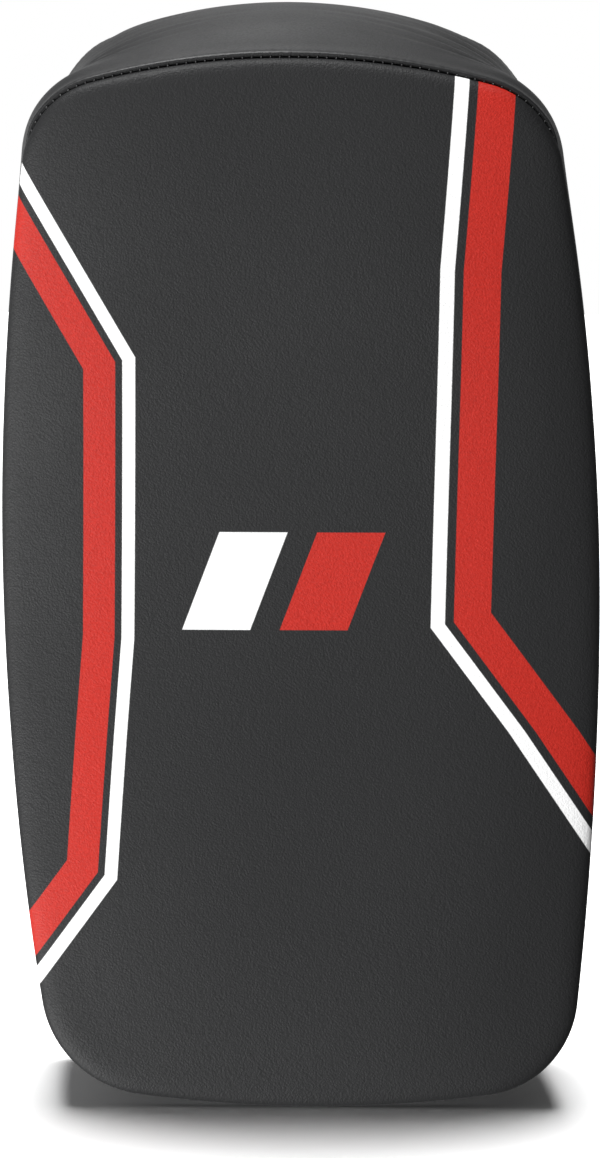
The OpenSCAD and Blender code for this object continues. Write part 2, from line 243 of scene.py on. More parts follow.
def note(mesh, key, vectors):
    """Keeps one vector for each point of a mesh, as an attribute."""
    held = mesh.attributes.new(key, "FLOAT_VECTOR", "POINT")
    held.data.foreach_set("vector", np.asarray(vectors, np.float32).reshape(-1))


def settled(obj):
    """The plain mesh that an object's modifiers make."""
    seen = bpy.context.evaluated_depsgraph_get()
    return bpy.data.meshes.new_from_object(obj.evaluated_get(seen))


def quads(rows, cols, wrap_rows=False, wrap_cols=False):
    """Faces between neighbouring points of a grid."""
    i, j = np.meshgrid(np.arange(rows - (not wrap_rows)), np.arange(cols - (not wrap_cols)),
                       indexing="ij")
    next_i, next_j = (i + 1) % rows, (j + 1) % cols
    corners = [i * cols + j, i * cols + next_j, next_i * cols + next_j, next_i * cols + j]
    return np.stack(corners, -1).reshape(-1, 4).tolist()


def piece(name, points, faces, finish, lie=None):
    """A smooth piece of merged points, with its faces outwards. lie says where each lies."""
    mesh = bpy.data.meshes.new(name)
    mesh.from_pydata(np.asarray(points).reshape(-1, 3).tolist(), [], faces)
    if lie is not None:
        note(mesh, "lie", lie)
    bm = bmesh.new()
    bm.from_mesh(mesh)
    bmesh.ops.remove_doubles(bm, verts=bm.verts, dist=1e-6)
    bmesh.ops.recalc_face_normals(bm, faces=bm.faces)
    bm.to_mesh(mesh)
    bm.free()
    mesh.shade_smooth()
    mesh.materials.append(finish)
    made = bpy.data.objects.new(name, mesh)
    bpy.context.scene.collection.objects.link(made)
    return made


def lying(x, y, z=0.0):
    """Where points lie on their piece, as the materials read it."""
    return np.stack(np.broadcast_arrays(x, y, z), -1)


# ---- finishes ----

class Wire:
    """A value in a finish, which plain maths works on."""

    def __init__(self, finish, socket):
        self.finish, self.socket = finish, socket

    def maths(self, operation, a, b=0.0, clamp=False):
        return self.finish.node("ShaderNodeMath", {"operation": operation, "use_clamp": clamp},
                                Value=a, Value_001=b)

    def __add__(self, other):
        return self.maths("ADD", self, other)

    def __sub__(self, other):
        return self.maths("SUBTRACT", self, other)

    def __mul__(self, other):
        return self.maths("MULTIPLY", self, other)

    def __truediv__(self, other):
        return self.maths("DIVIDE", self, other)

    def __radd__(self, other):
        return self.maths("ADD", other, self)

    def __rsub__(self, other):
        return self.maths("SUBTRACT", other, self)

    def __rmul__(self, other):
        return self.maths("MULTIPLY", other, self)

    def __pow__(self, power):
        return self.maths("POWER", self, power)

    def __abs__(self):
        return self.maths("ABSOLUTE", self)

    def larger(self, other):
        return self.maths("MAXIMUM", self, other)

    def clamped(self):
        return self.maths("ADD", self, 0.0, clamp=True)

    def above(self, edge, blur):
        """1 where the value is past the edge, 0 where it isn't, over a narrow blur."""
        return ((self - edge) / blur + 0.5).clamped()


class Finish:
    """A material while it is made: its shader, and one way to add any node to it."""

    def __init__(self, name, colour, roughness, **constants):
        self.material = bpy.data.materials.new(name)
        self.material.use_nodes = True
        self.tree = self.material.node_tree
        self.shader = self.tree.nodes["Principled BSDF"]
        self.set("Base Color", (*colour, 1))
        self.set("Roughness", roughness)
        for socket, value in constants.items():
            self.set(socket.replace("_", " "), value)

    def set(self, socket, value):
        self.put(self.shader.inputs[socket], value)

    def put(self, socket, value):
        if isinstance(value, Wire):
            self.tree.links.new(value.socket, socket)
        else:
            socket.default_value = value

    def node(self, kind, settings=None, output=0, **inputs):
        """A node of a kind: its settings first, then the values or links of its sockets."""
        node = self.tree.nodes.new(kind)
        for setting, value in (settings or {}).items():
            setattr(node, setting, value)
        for key, value in inputs.items():
            self.put(next(s for s in node.inputs if s.identifier == key or s.name == key), value)
        found = [s for s in node.outputs if s.identifier == output]
        return Wire(self, found[0] if found else node.outputs[output])

    def where(self):
        return self.node("ShaderNodeTexCoord", output="Object")

    def lie(self, part="Vector"):
        return self.node("ShaderNodeAttribute", {"attribute_name": "lie"}, output=part)

    def axes(self, vector):
        return [self.node("ShaderNodeSeparateXYZ", output=a, Vector=vector) for a in "XYZ"]

    def stretched(self, vector, x=1.0, y=1.0, z=1.0):
        return self.node("ShaderNodeVectorMath", {"operation": "MULTIPLY"},
                         Vector=vector, Vector_001=(x, y, z))

    def noise(self, vector, size, detail=2.0, rough=0.5):
        """Soft noise whose features are about size across."""
        return self.node("ShaderNodeTexNoise", Vector=vector, Scale=1 / size, Detail=detail,
                         Roughness=rough)

    def cells(self, vector, size, feature="F1"):
        return self.node("ShaderNodeTexVoronoi", {"feature": feature}, Vector=vector, Scale=1 / size)

    def mix(self, share, a, b):
        """Colour a where the share is 0, and b where it is 1."""
        return self.node("ShaderNodeMix", {"data_type": "RGBA"}, output="Result_Color",
                         Factor_Float=share, A_Color=a if isinstance(a, Wire) else (*a, 1),
                         B_Color=b if isinstance(b, Wire) else (*b, 1))

    def relief(self, height, depth, strength=1.0):
        """Fine relief: a height from 0 to 1, and how deep that is."""
        self.set("Normal", self.node("ShaderNodeBump", Height=height, Distance=depth,
                                     Strength=strength))


def leather(name, colour, roughness, grain=0.95 * MM, depth=0.07 * MM, worn=0.5, ripples=0.0, **more):
    """Pebbled coated leather, with its creases a little duller than its pebbles."""
    f = Finish(name, colour, roughness, **more)
    at = f.where()
    wobble = f.noise(at, 3.2 * MM, 2.0)
    pebbles = f.cells(at, grain)
    creases = f.cells(f.stretched(at, 1.0, 1.0, 1.35), grain * 0.62)
    fine = f.noise(at, 0.42 * MM, 2.0, 0.6)
    broad = f.noise(at, 38 * MM, 3.0, 0.55)
    height = (1 - pebbles) * 0.55 + (1 - creases) * 0.25 + fine * 0.3 + wobble * 0.35
    if ripples:
        long = f.noise(f.stretched(at, 0.32, 1.0, 1.0), 2.6 * MM, 2.0, 0.6)
        height = height + long * ripples
    f.relief(height, depth)
    f.set("Roughness", (roughness - 0.05 + (broad - 0.5) * 0.3 * worn + pebbles * 0.12
                        + (fine - 0.5) * 0.08).clamped())
    dark, light = [c * 0.72 for c in colour], [c * 1.45 for c in colour]
    f.set("Base Color", f.mix((pebbles * 0.55 + (broad - 0.5) * worn + 0.15).clamped(), light, dark))
    return f


def half_plane(x, s, a, b):
    """Distance outside the line from a to b, whose outside is on its right."""
    (ax, ay), (bx, by) = a, b
    length = math.hypot(bx - ax, by - ay)
    nx, ny = (by - ay) / length, -(bx - ax) / length
    return x * nx + s * ny - (ax * nx + ay * ny)


def face_finish():
    """The strike face's leather, with its printed stripes and its two slanted bars."""
    f = leather("face_leather", BLACK, 0.58, grain=0.75 * MM, depth=FACE_GRAIN, ripples=0.3,
                worn=0.35, Specular_IOR_Level=FACE_SPECULAR)
    x, s, _ = f.axes(f.lie())
    black = Wire(f, f.shader.inputs["Base Color"].links[0].from_socket)
    at = f.where()
    speck = f.noise(at, 0.55 * MM, 2.0, 0.7)
    blur = 0.25 * MM
    red, white = 0.0, 0.0
    for stripe in STRIPES:
        lines = zip(stripe["path"], stripe["path"][1:])
        edge = None
        for a, b in lines:
            out = half_plane(x, s, a, b)
            edge = out if edge is None else edge.larger(out)
        inside = 0 - edge + (speck - 0.5) * 0.12 * MM
        w, gap, r = stripe["white"], stripe["gap"], stripe["red"]
        white = white + inside.above(0, blur) * (1 - inside.above(w, blur))
        red = red + inside.above(w + gap, blur) * (1 - inside.above(w + gap + r, blur))
    for colour, middle in MARKS:
        up = s - MARK_S
        bar = (MARK_W / 2 - abs(x - middle - up * MARK_SLANT)).above(0, blur)
        bar = bar * (MARK_H / 2 - abs(up)).above(0, blur)
        if colour == "white":
            white = white + bar
        else:
            red = red + bar
    worn_red = f.mix(f.noise(at, 0.9 * MM, 3.0, 0.7).above(0.5, 0.5), RED, RED_LIGHT)
    worn_white = f.mix(speck, WHITE, [c * 0.93 for c in WHITE])
    inked = f.mix(white, f.mix(red, black, worn_red), worn_white)
    f.set("Base Color", inked)
    return f.material


def foam(name, colour, cell):
    """Foam with open cells."""
    f = Finish(name, colour, 0.95, Specular_IOR_Level=0.2)
    at = f.where()
    pores = f.cells(at, cell)
    blotch = f.noise(at, 20 * MM, 3.0)
    f.relief(pores + f.noise(at, cell * 0.4) * 0.5, 0.4 * MM)
    f.set("Base Color", f.mix((pores * 1.2 + (blotch - 0.5) * 0.4).clamped(),
                              [c * 0.7 for c in colour], colour))
    return f.material


def lining(name, colour):
    """Soft knitted lining over thin padding."""
    f = Finish(name, colour, 0.85, Sheen_Weight=0.25, Sheen_Roughness=0.5)
    x, y, _ = f.axes(f.lie())
    knit = 1.25 * MM
    rows = f.node("ShaderNodeMath", {"operation": "PINGPONG"}, Value=x, Value_001=knit) / knit
    wales = f.node("ShaderNodeMath", {"operation": "PINGPONG"}, Value=y + rows * 0.3 * MM,
                   Value_001=knit * 0.7) / (knit * 0.7)
    loops = rows * 0.5 + wales * 0.7
    fluff = f.noise(f.where(), 0.6 * MM, 3.0)
    f.relief(loops + fluff * 0.4, 0.35 * MM)
    f.set("Base Color", f.mix((loops * 0.7 + fluff * 0.3).clamped(), [c * 0.5 for c in colour],
                              [c * 1.3 for c in colour]))
    f.set("Roughness", 0.8 + fluff * 0.15)
    return f.material


def pile(name, colour, size, depth, hooks=False):
    """Fastening tape: a tangle of loops, or woven ground between rows of hooks."""
    f = Finish(name, colour, 0.9, Sheen_Weight=0.3, Sheen_Roughness=0.6)
    at = f.where()
    tangle = f.noise(at, size, 4.0, 0.75)
    if hooks:
        x, y, _ = f.axes(f.lie())
        weave = abs(f.node("ShaderNodeMath", {"operation": "SINE"}, Value=x * (math.pi / (0.8 * MM))))
        weft = abs(f.node("ShaderNodeMath", {"operation": "SINE"}, Value=y * (math.pi / (0.8 * MM))))
        tangle = weave * weft * 0.7 + tangle * 0.3
    f.relief(tangle, depth)
    f.set("Base Color", f.mix(tangle.above(0.5, 0.5), [c * 0.4 for c in colour],
                              [c * 1.9 for c in colour]))
    f.set("Roughness", 0.78 + tangle * 0.2)
    return f.material


def thread(name, colour):
    """Twisted bonded thread."""
    f = Finish(name, colour, 0.42, Specular_IOR_Level=0.6)
    at = f.where()
    twist = f.noise(at, 0.25 * MM, 2.0)
    f.relief(twist, 0.05 * MM)
    f.set("Base Color", f.mix(twist, [c * 0.7 for c in colour], [c * 1.5 for c in colour]))
    f.set("Roughness", 0.36 + twist * 0.2)
    return f.material


def steel(name):
    """Nickel-plated steel with fine scratches and a few duller spots."""
    f = Finish(name, (0.62, 0.62, 0.60), 0.22, Metallic=1.0)
    at = f.where()
    scratches = f.noise(f.stretched(at, 1.0, 1.0, 0.08), 0.22 * MM, 2.0, 0.7)
    dull = f.noise(at, 5 * MM, 4.0, 0.65).above(0.58, 0.15)
    f.relief(scratches, 0.012 * MM)
    f.set("Roughness", 0.17 + scratches * 0.14 + dull * 0.16)
    f.set("Base Color", f.mix(dull, (0.66, 0.65, 0.62), (0.42, 0.40, 0.36)))
    return f.material


def cord(name):
    """Dense rolled cord, with its strands along the bar."""
    f = Finish(name, (0.42, 0.27, 0.14), 0.55)
    at = f.stretched(f.where(), 0.06, 1.0, 1.0)
    rings = f.noise(at, 2.4 * MM, 4.0, 0.6)
    flecks = f.noise(at, 0.5 * MM, 2.0, 0.6)
    f.relief(rings * 0.6 + flecks * 0.4, 0.1 * MM)
    f.set("Base Color", f.mix((rings * 0.8 + flecks * 0.3).clamped(), (0.29, 0.165, 0.075),
                              (0.50, 0.34, 0.19)))
    f.set("Roughness", 0.45 + flecks * 0.2)
    return f.material


# ---- what is printed on the face: x and s of each corner ----

BLACK = (0.0092, 0.0094, 0.0100)
RED, RED_LIGHT = (0.36, 0.009, 0.003), (0.50, 0.018, 0.009)
WHITE = (0.92, 0.92, 0.92)
FACE_GRAIN, FACE_SPECULAR = 0.17 * MM, 0.34
STRIPES = [
    {"path": [(x * MM, s * MM) for x, s in
              [(-91.5, 43.5), (-64.8, 79.0), (-57.0, 165.0), (-54.1, 269.5), (-88.3, 331.5)]],
     "white": 4.3 * MM, "gap": 2.4 * MM, "red": 10.7 * MM},
    {"path": [(x * MM, s * MM) for x, s in
              [(54.6, 364.6), (48.2, 300.0), (43.5, 169.5), (97.5, 87.5)]],
     "white": 4.8 * MM, "gap": 3.0 * MM, "red": 12.5 * MM},
]
MARK_S, MARK_W, MARK_H, MARK_SLANT = 187 * MM, 23 * MM, 37 * MM, 0.36
MARKS = [("white", -22.5 * MM), ("red", 10.5 * MM)]


# ---- the cover ----

# Sections of the covers near a seam: how far in from the outline, and how far out of the
# seam's plane. The face rolls over into the seam, and the gusset's edge stands up beside it.
FACE_EDGE = [(1.0, -0.95), (0.88, -0.8), (0.82, -0.6), (0.95, -0.1), (1.2, 0.35), (1.6, 0.78),
             (2.15, 1.12), (3.0, 1.4), (4.2, 1.62), (6.0, 1.75), (8.2, 1.8)]
GUSSET_EDGE = [(0.95, -1.0), (0.6, -0.95), (0.2, -0.85), (-0.25, -0.7), (-0.6, -0.9),
               (-0.75, -1.45), (-0.62, -2.5), (-0.30, -4.0), (0.0, -6.2)]
SIDE_OUT, SIDE_IN = 0.75 * MM, 1.4 * MM     # away from the top, the face hides the seam
ROLL = FACE_EDGE[-1][1] * MM
FACE_INSETS = [11, 14.5, 18.5, 23, 28]
FACE_SHARES = [0.06, 0.13, 0.21, 0.3, 0.4, 0.5, 0.6, 0.7, 0.8, 0.88, 0.94, 0.98, 1]
PUCKER = 0.07 * MM
FACE_SWELL = 5.2 * MM
DOME, DOME_HALF_W = 8.4 * MM, 100 * MM

# Creases of the top panel near its corners: distance round the outline from the top's middle,
# depth, slope, length, width and height
CREASES = [(64, -29, 0.10, 24, 2.0, 0.55), (57, -20, 0.20, 26, 2.3, 0.45),
           (70, -13, 0.34, 20, 2.8, 0.60), (44, -8, 0.13, 26, 3.0, 0.28),
           (60, 5, 0.28, 22, 3.2, 0.50), (76, 16, 0.22, 17, 3.4, 0.60),
           (66, 27, -0.2, 20, 3.2, 0.40), (88, -24, 0.1, 14, 2.2, 0.45)]


def half_width(outline, s):
    """Half the pad's width at height s."""
    side = outline.points[:HALF_STEPS + 1]
    return np.interp(s, side[:, 1], side[:, 0])


def swell(outline, x, s):
    """Share of the strike face's crown at a point."""
    u = np.clip(np.abs(x) / np.maximum(half_width(outline, s), 1 * MM), 0, 1)
    v = np.clip(np.abs(s - HALF_L) / HALF_L, 0, 1)
    return (1 - u ** 4) * (1 - v ** 6)


def waves(x, s):
    """Shallow waves of leather over foam."""
    a = np.sin(x / 31e-3 + 1.9 * np.sin(s / 47e-3)) * np.sin(s / 39e-3 + 0.8)
    b = np.sin(x / 17e-3 - s / 29e-3 + 0.5) * np.sin(s / 61e-3 + x / 53e-3)
    return 0.30 * MM * a + 0.14 * MM * b


def off_top(normals):
    """1 round the sides and base, and 0 along the top, where the seam shows."""
    return 1 - smooth_step(normals[:, 1], 0.15, 0.55)


def in_space(flat, d, normals, gone, fade=1.0):
    """Points of a cover in space, from where they lie on the pad."""
    flat = flat - (draw_in(gone, d) * fade)[..., None] * normals
    x, s = flat[..., 0], flat[..., 1]
    return place(x + skew(d, s), d, s)


def pucker(gone):
    """The pull of each stitch on the leather beside it, from -1 to 1."""
    return np.cos(2 * math.pi * gone / PITCH)


def panel(name, outline, gone, side, swollen, finish):
    """A panel of the cover with its turned-in edge. side is -1 at the front and 1 at the back."""
    edge = np.array(FACE_EDGE) * MM
    insets = list(edge[:, 0]) + [t * MM for t in FACE_INSETS]
    rise = list(edge[:, 1]) + [ROLL] * (len(FACE_INSETS) + len(FACE_SHARES))
    flat, depth = outline.rings(insets, FACE_SHARES)
    over = SIDE_OUT * off_top(outline.normals) * (1 - smooth_step(depth, 1 * MM, 8 * MM))
    flat = flat + over[..., None] * outline.normals
    x, s = flat[..., 0], flat[..., 1]
    out = np.array(rise)[:, None] + 0 * x
    near = np.exp(-depth / (1.3 * MM))
    out = out + PUCKER * near * pucker(gone)[None, :]
    if swollen:
        calm = smooth_step(depth, 3 * MM, 20 * MM)
        out = out + FACE_SWELL * swell(outline, x, s) + waves(x, s) * calm
    base = HALF_T if swollen else HALF_T - ROLL
    under_insets = [2.6 * MM, 4.5 * MM, 9 * MM, 20 * MM, 28 * MM]
    under_flat, under_depth = outline.rings(under_insets, [0.25, 0.5, 0.75, 1])
    under_x, under_s = under_flat[..., 0], under_flat[..., 1]
    under = np.array([-1.7 * MM, -0.9 * MM] + [ROLL - SKIN] * 7)[:, None] + 0 * under_x
    if swollen:
        calm = smooth_step(under_depth, 3 * MM, 20 * MM)
        under = under + FACE_SWELL * swell(outline, under_x, under_s) + waves(under_x, under_s) * calm
    flat = np.concatenate([flat[::-1], under_flat])
    depth = np.concatenate([depth[::-1], under_depth])
    d = side * (base + np.concatenate([out[::-1], under]))
    x, s = flat[..., 0], flat[..., 1]
    points = in_space(flat, d, outline.normals, gone, np.exp(-depth / (30 * MM)))
    made = piece(name, points, quads(*x.shape, wrap_cols=True), finish, lie=lying(x, s, d))
    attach(made, "pad")
    return made


def bulge(gone, x, d, up):
    """How far the gusset stands out of the outline at a point, between the two seams."""
    across = d / HALF_T
    dome = DOME * (1 - np.abs(across) ** 3) * np.clip(1 - (x / DOME_HALF_W) ** 2, 0, 1) ** 1.5
    top = smooth_step(up, 0.1, 0.5)
    sides = 1.0 * MM * (1 - across ** 2) * smooth_step(up, -0.95, -0.6)
    corner = np.exp(-((np.abs(gone) - 86 * MM) / (20 * MM)) ** 2)
    roll = 1.1 * MM * corner * np.exp(-((d + 36 * MM) / (4.5 * MM)) ** 2)
    valley = 1.6 * MM * corner * np.exp(-((d + 27 * MM) / (4.5 * MM)) ** 2)
    out = dome * top + sides * (1 - top) + roll - valley
    for side in (-1, 1):
        for k, (a, depth, slope, length, width, height) in enumerate(CREASES):
            a, depth = a + side * 1.7 * math.sin(3 * k), depth + side * 1.5 * math.cos(5 * k)
            g = side * gone / MM
            q = (d / MM - depth - slope * (a - g)) / width
            fade = np.exp(-((g - a) / length) ** 2) * smooth_step(HALF_T - np.abs(d), 4 * MM, 12 * MM)
            out = out + height * MM * fade * (np.exp(-q ** 2) - 1.3 * np.exp(-(q - 1.5) ** 2))
    return out


def gusset(name, outline, gone, chosen, finish):
    """A strip of the gusset between the two seams, along the chosen steps of the outline."""
    edge = np.array(GUSSET_EDGE) * MM
    rows = np.linspace(-HALF_T + 7.4 * MM, HALF_T - 7.4 * MM, 58)
    d = np.concatenate([-HALF_T - edge[:, 1], rows, (HALF_T + edge[:, 1])[::-1]])
    inset = np.concatenate([edge[:, 0], 0 * rows, edge[::-1, 0]])
    points, normals = outline.points[chosen], outline.normals[chosen]
    g = gone[chosen][:, None]
    near = np.exp(-(HALF_T - np.abs(d)) / (1.6 * MM))[None, :]
    tuck = SIDE_IN * off_top(normals)[:, None] * (1 - smooth_step(HALF_T - np.abs(d), 2 * MM, 9 * MM))
    out = bulge(g, points[:, :1], d[None, :], normals[:, 1:]) - inset + PUCKER * near * pucker(g) - tuck
    inner_d = np.linspace(HALF_T - 3.2 * MM, -HALF_T + 3.2 * MM, 12)
    inner = bulge(g, points[:, :1], inner_d[None, :], normals[:, 1:]) - SKIN
    out, d = np.concatenate([out, inner], 1), np.concatenate([d, inner_d])
    flat = points[:, None, :] + out[..., None] * normals[:, None, :]
    d = np.broadcast_to(d, out.shape)
    rows, cols = out.shape
    faces = quads(rows, cols, wrap_cols=True) + caps(rows, cols)
    points = in_space(flat, d, normals[:, None, :], g)
    made = piece(name, points, faces, finish, lie=lying(g + 0 * d, d))
    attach(made, "pad")
    return made


def caps(rows, cols):
    """Fans over both open ends of a swept strip."""
    ends = []
    for start in (0, (rows - 1) * cols):
        ends += [[start + j, start + j + 1, start + cols - 2 - j, start + cols - 1 - j]
                 for j in range(cols // 2 - 1)]
    return ends


def slab(name, outline, gone, front, back, inset, r, finish, crown=0.0):
    """A layer of foam with its edges rounded to radius r."""
    steps = 1 - np.cos(np.linspace(0, math.pi / 2, 6))
    insets = [inset + r * t for t in steps] + [inset + 16 * MM]
    flat, depth = outline.rings(insets, [0.3, 0.6, 0.85, 1])
    x, s = flat[..., 0], flat[..., 1]
    drop = r - np.sqrt(np.clip(r ** 2 - (r - np.clip(depth - inset, 0, r)) ** 2, 0, None))
    high = front + drop - crown * swell(outline, x, s) * smooth_step(depth, 3 * MM, 20 * MM)
    low = back - drop
    flat, d = np.concatenate([flat[::-1], flat]), np.concatenate([high[::-1], low])
    depth = np.concatenate([depth[::-1], depth])
    points = in_space(flat, d, outline.normals, gone, np.exp(-depth / (30 * MM)))
    made = piece(name, points, quads(*d.shape, wrap_cols=True), finish)
    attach(made, "pad")
    return made


# ---- stitches and other repeats ----

def tree_of(name, sockets):
    """An empty tree of geometry nodes with named inputs."""
    tree = bpy.data.node_groups.new(name, "GeometryNodeTree")
    tree.interface.new_socket("Geometry", in_out="INPUT", socket_type="NodeSocketGeometry")
    for label, kind, value in sockets:
        made = tree.interface.new_socket(label, in_out="INPUT", socket_type="NodeSocket" + kind)
        if value is not None:
            made.default_value = value
    tree.interface.new_socket("Geometry", in_out="OUTPUT", socket_type="NodeSocketGeometry")
    return tree


def grow(tree, kind, settings=None, **inputs):
    """A node in a tree of geometry nodes, with values or other nodes' outputs as its inputs."""
    node = tree.nodes.new(kind)
    for setting, value in (settings or {}).items():
        setattr(node, setting, value)
    for key, value in inputs.items():
        socket = next(s for s in node.inputs if s.identifier == key or s.name.replace(" ", "_") == key)
        if isinstance(value, bpy.types.NodeSocket):
            tree.links.new(value, socket)
        else:
            socket.default_value = value
    return node


def stand_out(tree):
    """A node that turns things to stand along the attribute out."""
    out = grow(tree, "GeometryNodeInputNamedAttribute", {"data_type": "FLOAT_VECTOR"}, Name="out")
    return grow(tree, "FunctionNodeAlignRotationToVector", {"axis": "Z"}, Vector=out.outputs[0])


def end_tree(tree, given, points, thing, turn, soft=False, **more):
    """Ends a tree with a real copy of a thing at each point, in the given finish."""
    last = grow(tree, "GeometryNodeInstanceOnPoints", Points=points, Instance=thing.outputs[0],
                Rotation=turn.outputs[0], **more)
    last = grow(tree, "GeometryNodeRealizeInstances", Geometry=last.outputs[0])
    if soft:
        last = grow(tree, "GeometryNodeSetShadeSmooth", Geometry=last.outputs[0])
    last = grow(tree, "GeometryNodeSetMaterial", Geometry=last.outputs[0], Material=given["Finish"])
    grow(tree, "NodeGroupOutput", Geometry=last.outputs[0])
    return tree


def stitch_tree():
    """Stitches laid along the edges of a path, their flat side by its attribute out."""
    tree = tree_of("stitch_row", [("Pitch", "Float", PITCH), ("Length", "Float", 2 * MM),
                                  ("Thickness", "Float", 0.5 * MM), ("Finish", "Material", None)])
    given = tree.nodes.new("NodeGroupInput").outputs
    path = grow(tree, "GeometryNodeMeshToCurve", Mesh=given["Geometry"])
    even_path = grow(tree, "GeometryNodeResampleCurve", {"mode": "LENGTH"}, Curve=path.outputs[0],
                     Length=given["Pitch"])
    way = tree.nodes.new("GeometryNodeInputTangent")
    turned = grow(tree, "FunctionNodeAlignRotationToVector", {"axis": "X", "pivot_axis": "Z"},
                  Rotation=stand_out(tree).outputs[0], Vector=way.outputs[0])
    bead = grow(tree, "GeometryNodeMeshUVSphere", Segments=8, Rings=5, Radius=0.5)
    size = grow(tree, "ShaderNodeCombineXYZ", X=given["Length"], Y=given["Thickness"],
                Z=given["Thickness"])
    shaped = grow(tree, "GeometryNodeTransform", Geometry=bead.outputs[0], Scale=size.outputs[0])
    return end_tree(tree, given, even_path.outputs[0], shaped, turned, soft=True)


def grown(name, mesh, tree, **values):
    """The plain mesh that a tree makes of a mesh, as a piece of its own."""
    seed = bpy.data.objects.new(name, mesh)
    bpy.context.scene.collection.objects.link(seed)
    modifier = seed.modifiers.new("grow", "NODES")
    modifier.node_group = tree
    for item in tree.interface.items_tree:
        if item.in_out == "INPUT" and item.name in values:
            modifier[item.identifier] = values[item.name]
    made = settled(seed)
    seed.modifiers.remove(modifier)
    seed.data = made
    made.name = name
    return seed


def stitches(name, paths, length, thickness, finish, pitch=PITCH):
    """Rows of stitches along paths. Each path is its points, the way out of the leather at
    each, and whether it closes."""
    points, ways, edges = [], [], []
    for line, out, closed in paths:
        first, n = len(points), len(line)
        points += np.asarray(line).tolist()
        ways += np.broadcast_to(out, np.shape(line)).tolist()
        edges += [(first + i, first + i + 1) for i in range(n - 1)]
        if closed:
            edges.append((first + n - 1, first))
    mesh = bpy.data.meshes.new(name)
    mesh.from_pydata(points, edges, [])
    note(mesh, "out", ways)
    return grown(name, mesh, STITCH_TREE, Pitch=pitch, Length=length, Thickness=thickness,
                 Finish=finish)


STITCH_TREE = stitch_tree()


# ---- the pad's pieces ----

outline, gone = pad_outline()
FACE = face_finish()
BODY = leather("body_leather", BLACK, 0.47, grain=0.8 * MM, depth=0.06 * MM, worn=0.5,
               Specular_IOR_Level=0.42).material
THREAD = thread("black_thread", (0.02, 0.02, 0.021))

strike_face = panel("strike_face", outline, gone, -1, True, FACE)
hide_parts("face_cover")
back_panel = panel("back_panel", outline, gone, 1, False, BODY)
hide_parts("back_cover")

low_end = int(np.searchsorted(outline.points[:HALF_STEPS, 1], SIDE_SEAM_S))
steps = np.arange(2 * HALF_STEPS)
over_top = steps[low_end:2 * HALF_STEPS - low_end + 1]
under_base = np.arange(-low_end, low_end + 1)
side_gusset = gusset("side_and_top_gusset", outline, gone, over_top, BODY)
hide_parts("side_gusset")
base_gusset = gusset("base_gusset", outline, gone, under_base, BODY)
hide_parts("bottom_gusset")


def seam_stitches(name, side):
    """Stitches that cross the groove between a panel and the gusset."""
    d = side * (HALF_T - 0.72 * MM) + 0 * gone
    shift = (0.55 * MM + 0.5 * MM * off_top(outline.normals))[:, None]
    line = in_space(outline.points - shift * outline.normals, d, outline.normals, gone)
    made = stitches(name, [(line, place(0, side, 0.0), True)], 0.7 * MM, 0.95 * MM, THREAD)
    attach(made, "pad")


seam_stitches("front_seam_stitches", -1)
seam_stitches("back_seam_stitches", 1)


# ---- foam inside the pad ----

CORE_FRONT, CORE_BACK = -20.2 * MM, 19.8 * MM
COARSE, COARSE_GONE = outline.thinned(5), gone[::5]
FOAM_IN, FOAM_R = 3.4 * MM, 6 * MM

for name, front, back, shade, cell, fill, crown, node in [
        ("strike_foam_block", -45.2 * MM, -20.5 * MM, (0.62, 0.64, 0.67), 1.6 * MM, 0.9, 4 * MM,
         "strike_foam"),
        ("core_foam_block", CORE_FRONT, CORE_BACK, (0.20, 0.21, 0.23), 1.1 * MM, 1.0, 0,
         "core_foam"),
        ("back_foam_block", 20.1 * MM, 45.2 * MM, (0.09, 0.10, 0.11), 1.3 * MM, 0.95, 0,
         "back_foam")]:
    made = slab(name, COARSE, COARSE_GONE, front, back, FOAM_IN, FOAM_R,
                foam(name, shade, cell), crown)
    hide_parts(node)


# ---- strips of leather, tape and padding ----

OUTWARDS = (0.0, 1.0, 0.0)         # off the back, in the flat back's own coordinates
COVER_HALF_Z = 30 * MM             # half the height of a patch over a sewn foot
CROSS_HALF_Z = 17 * MM             # half the height of the cross sewn on it
PLATE_HALF_Z, PLATE_T = 15 * MM, 1.9 * MM      # the plate under the grip's feet


def section(width, thickness, r=None, across=7):
    """Outline of a strip's cross-section, and how round its edges are."""
    r = min(thickness / 2 * 0.96, r or 1)
    a = np.linspace(0, math.pi / 2, 5)
    ring = []
    for quarter_turn, (sx, sy) in enumerate([(1, 1), (-1, 1), (-1, -1), (1, -1)]):
        b = a + quarter_turn * math.pi / 2
        ring += [(sx * (width / 2 - r) + r * math.cos(t), sy * (thickness / 2 - r) + r * math.sin(t))
                 for t in b]
        if quarter_turn in (0, 2):
            z = np.linspace(1, -1, across)[1:-1] * (1 if quarter_turn == 0 else -1)
            ring += [(t * (width / 2 - r), sy * thickness / 2) for t in z]
    return np.array(ring)


def path_normals(path):
    """Unit normals to the left of a flat path, and how far along it each point lies."""
    way = np.gradient(path, axis=0)
    way /= np.hypot(*way.T)[:, None]
    gone_by = np.concatenate([[0], np.cumsum(np.hypot(*np.diff(path, axis=0).T))])
    return np.stack([-way[:, 1], way[:, 0]], -1), gone_by


def end_share(gone_by, total, r):
    """Share of the half width that is left near a strip's rounded end."""
    e = np.clip(total - gone_by, 0, r)
    return r - np.sqrt(np.clip(r ** 2 - (r - e) ** 2, 0, None))


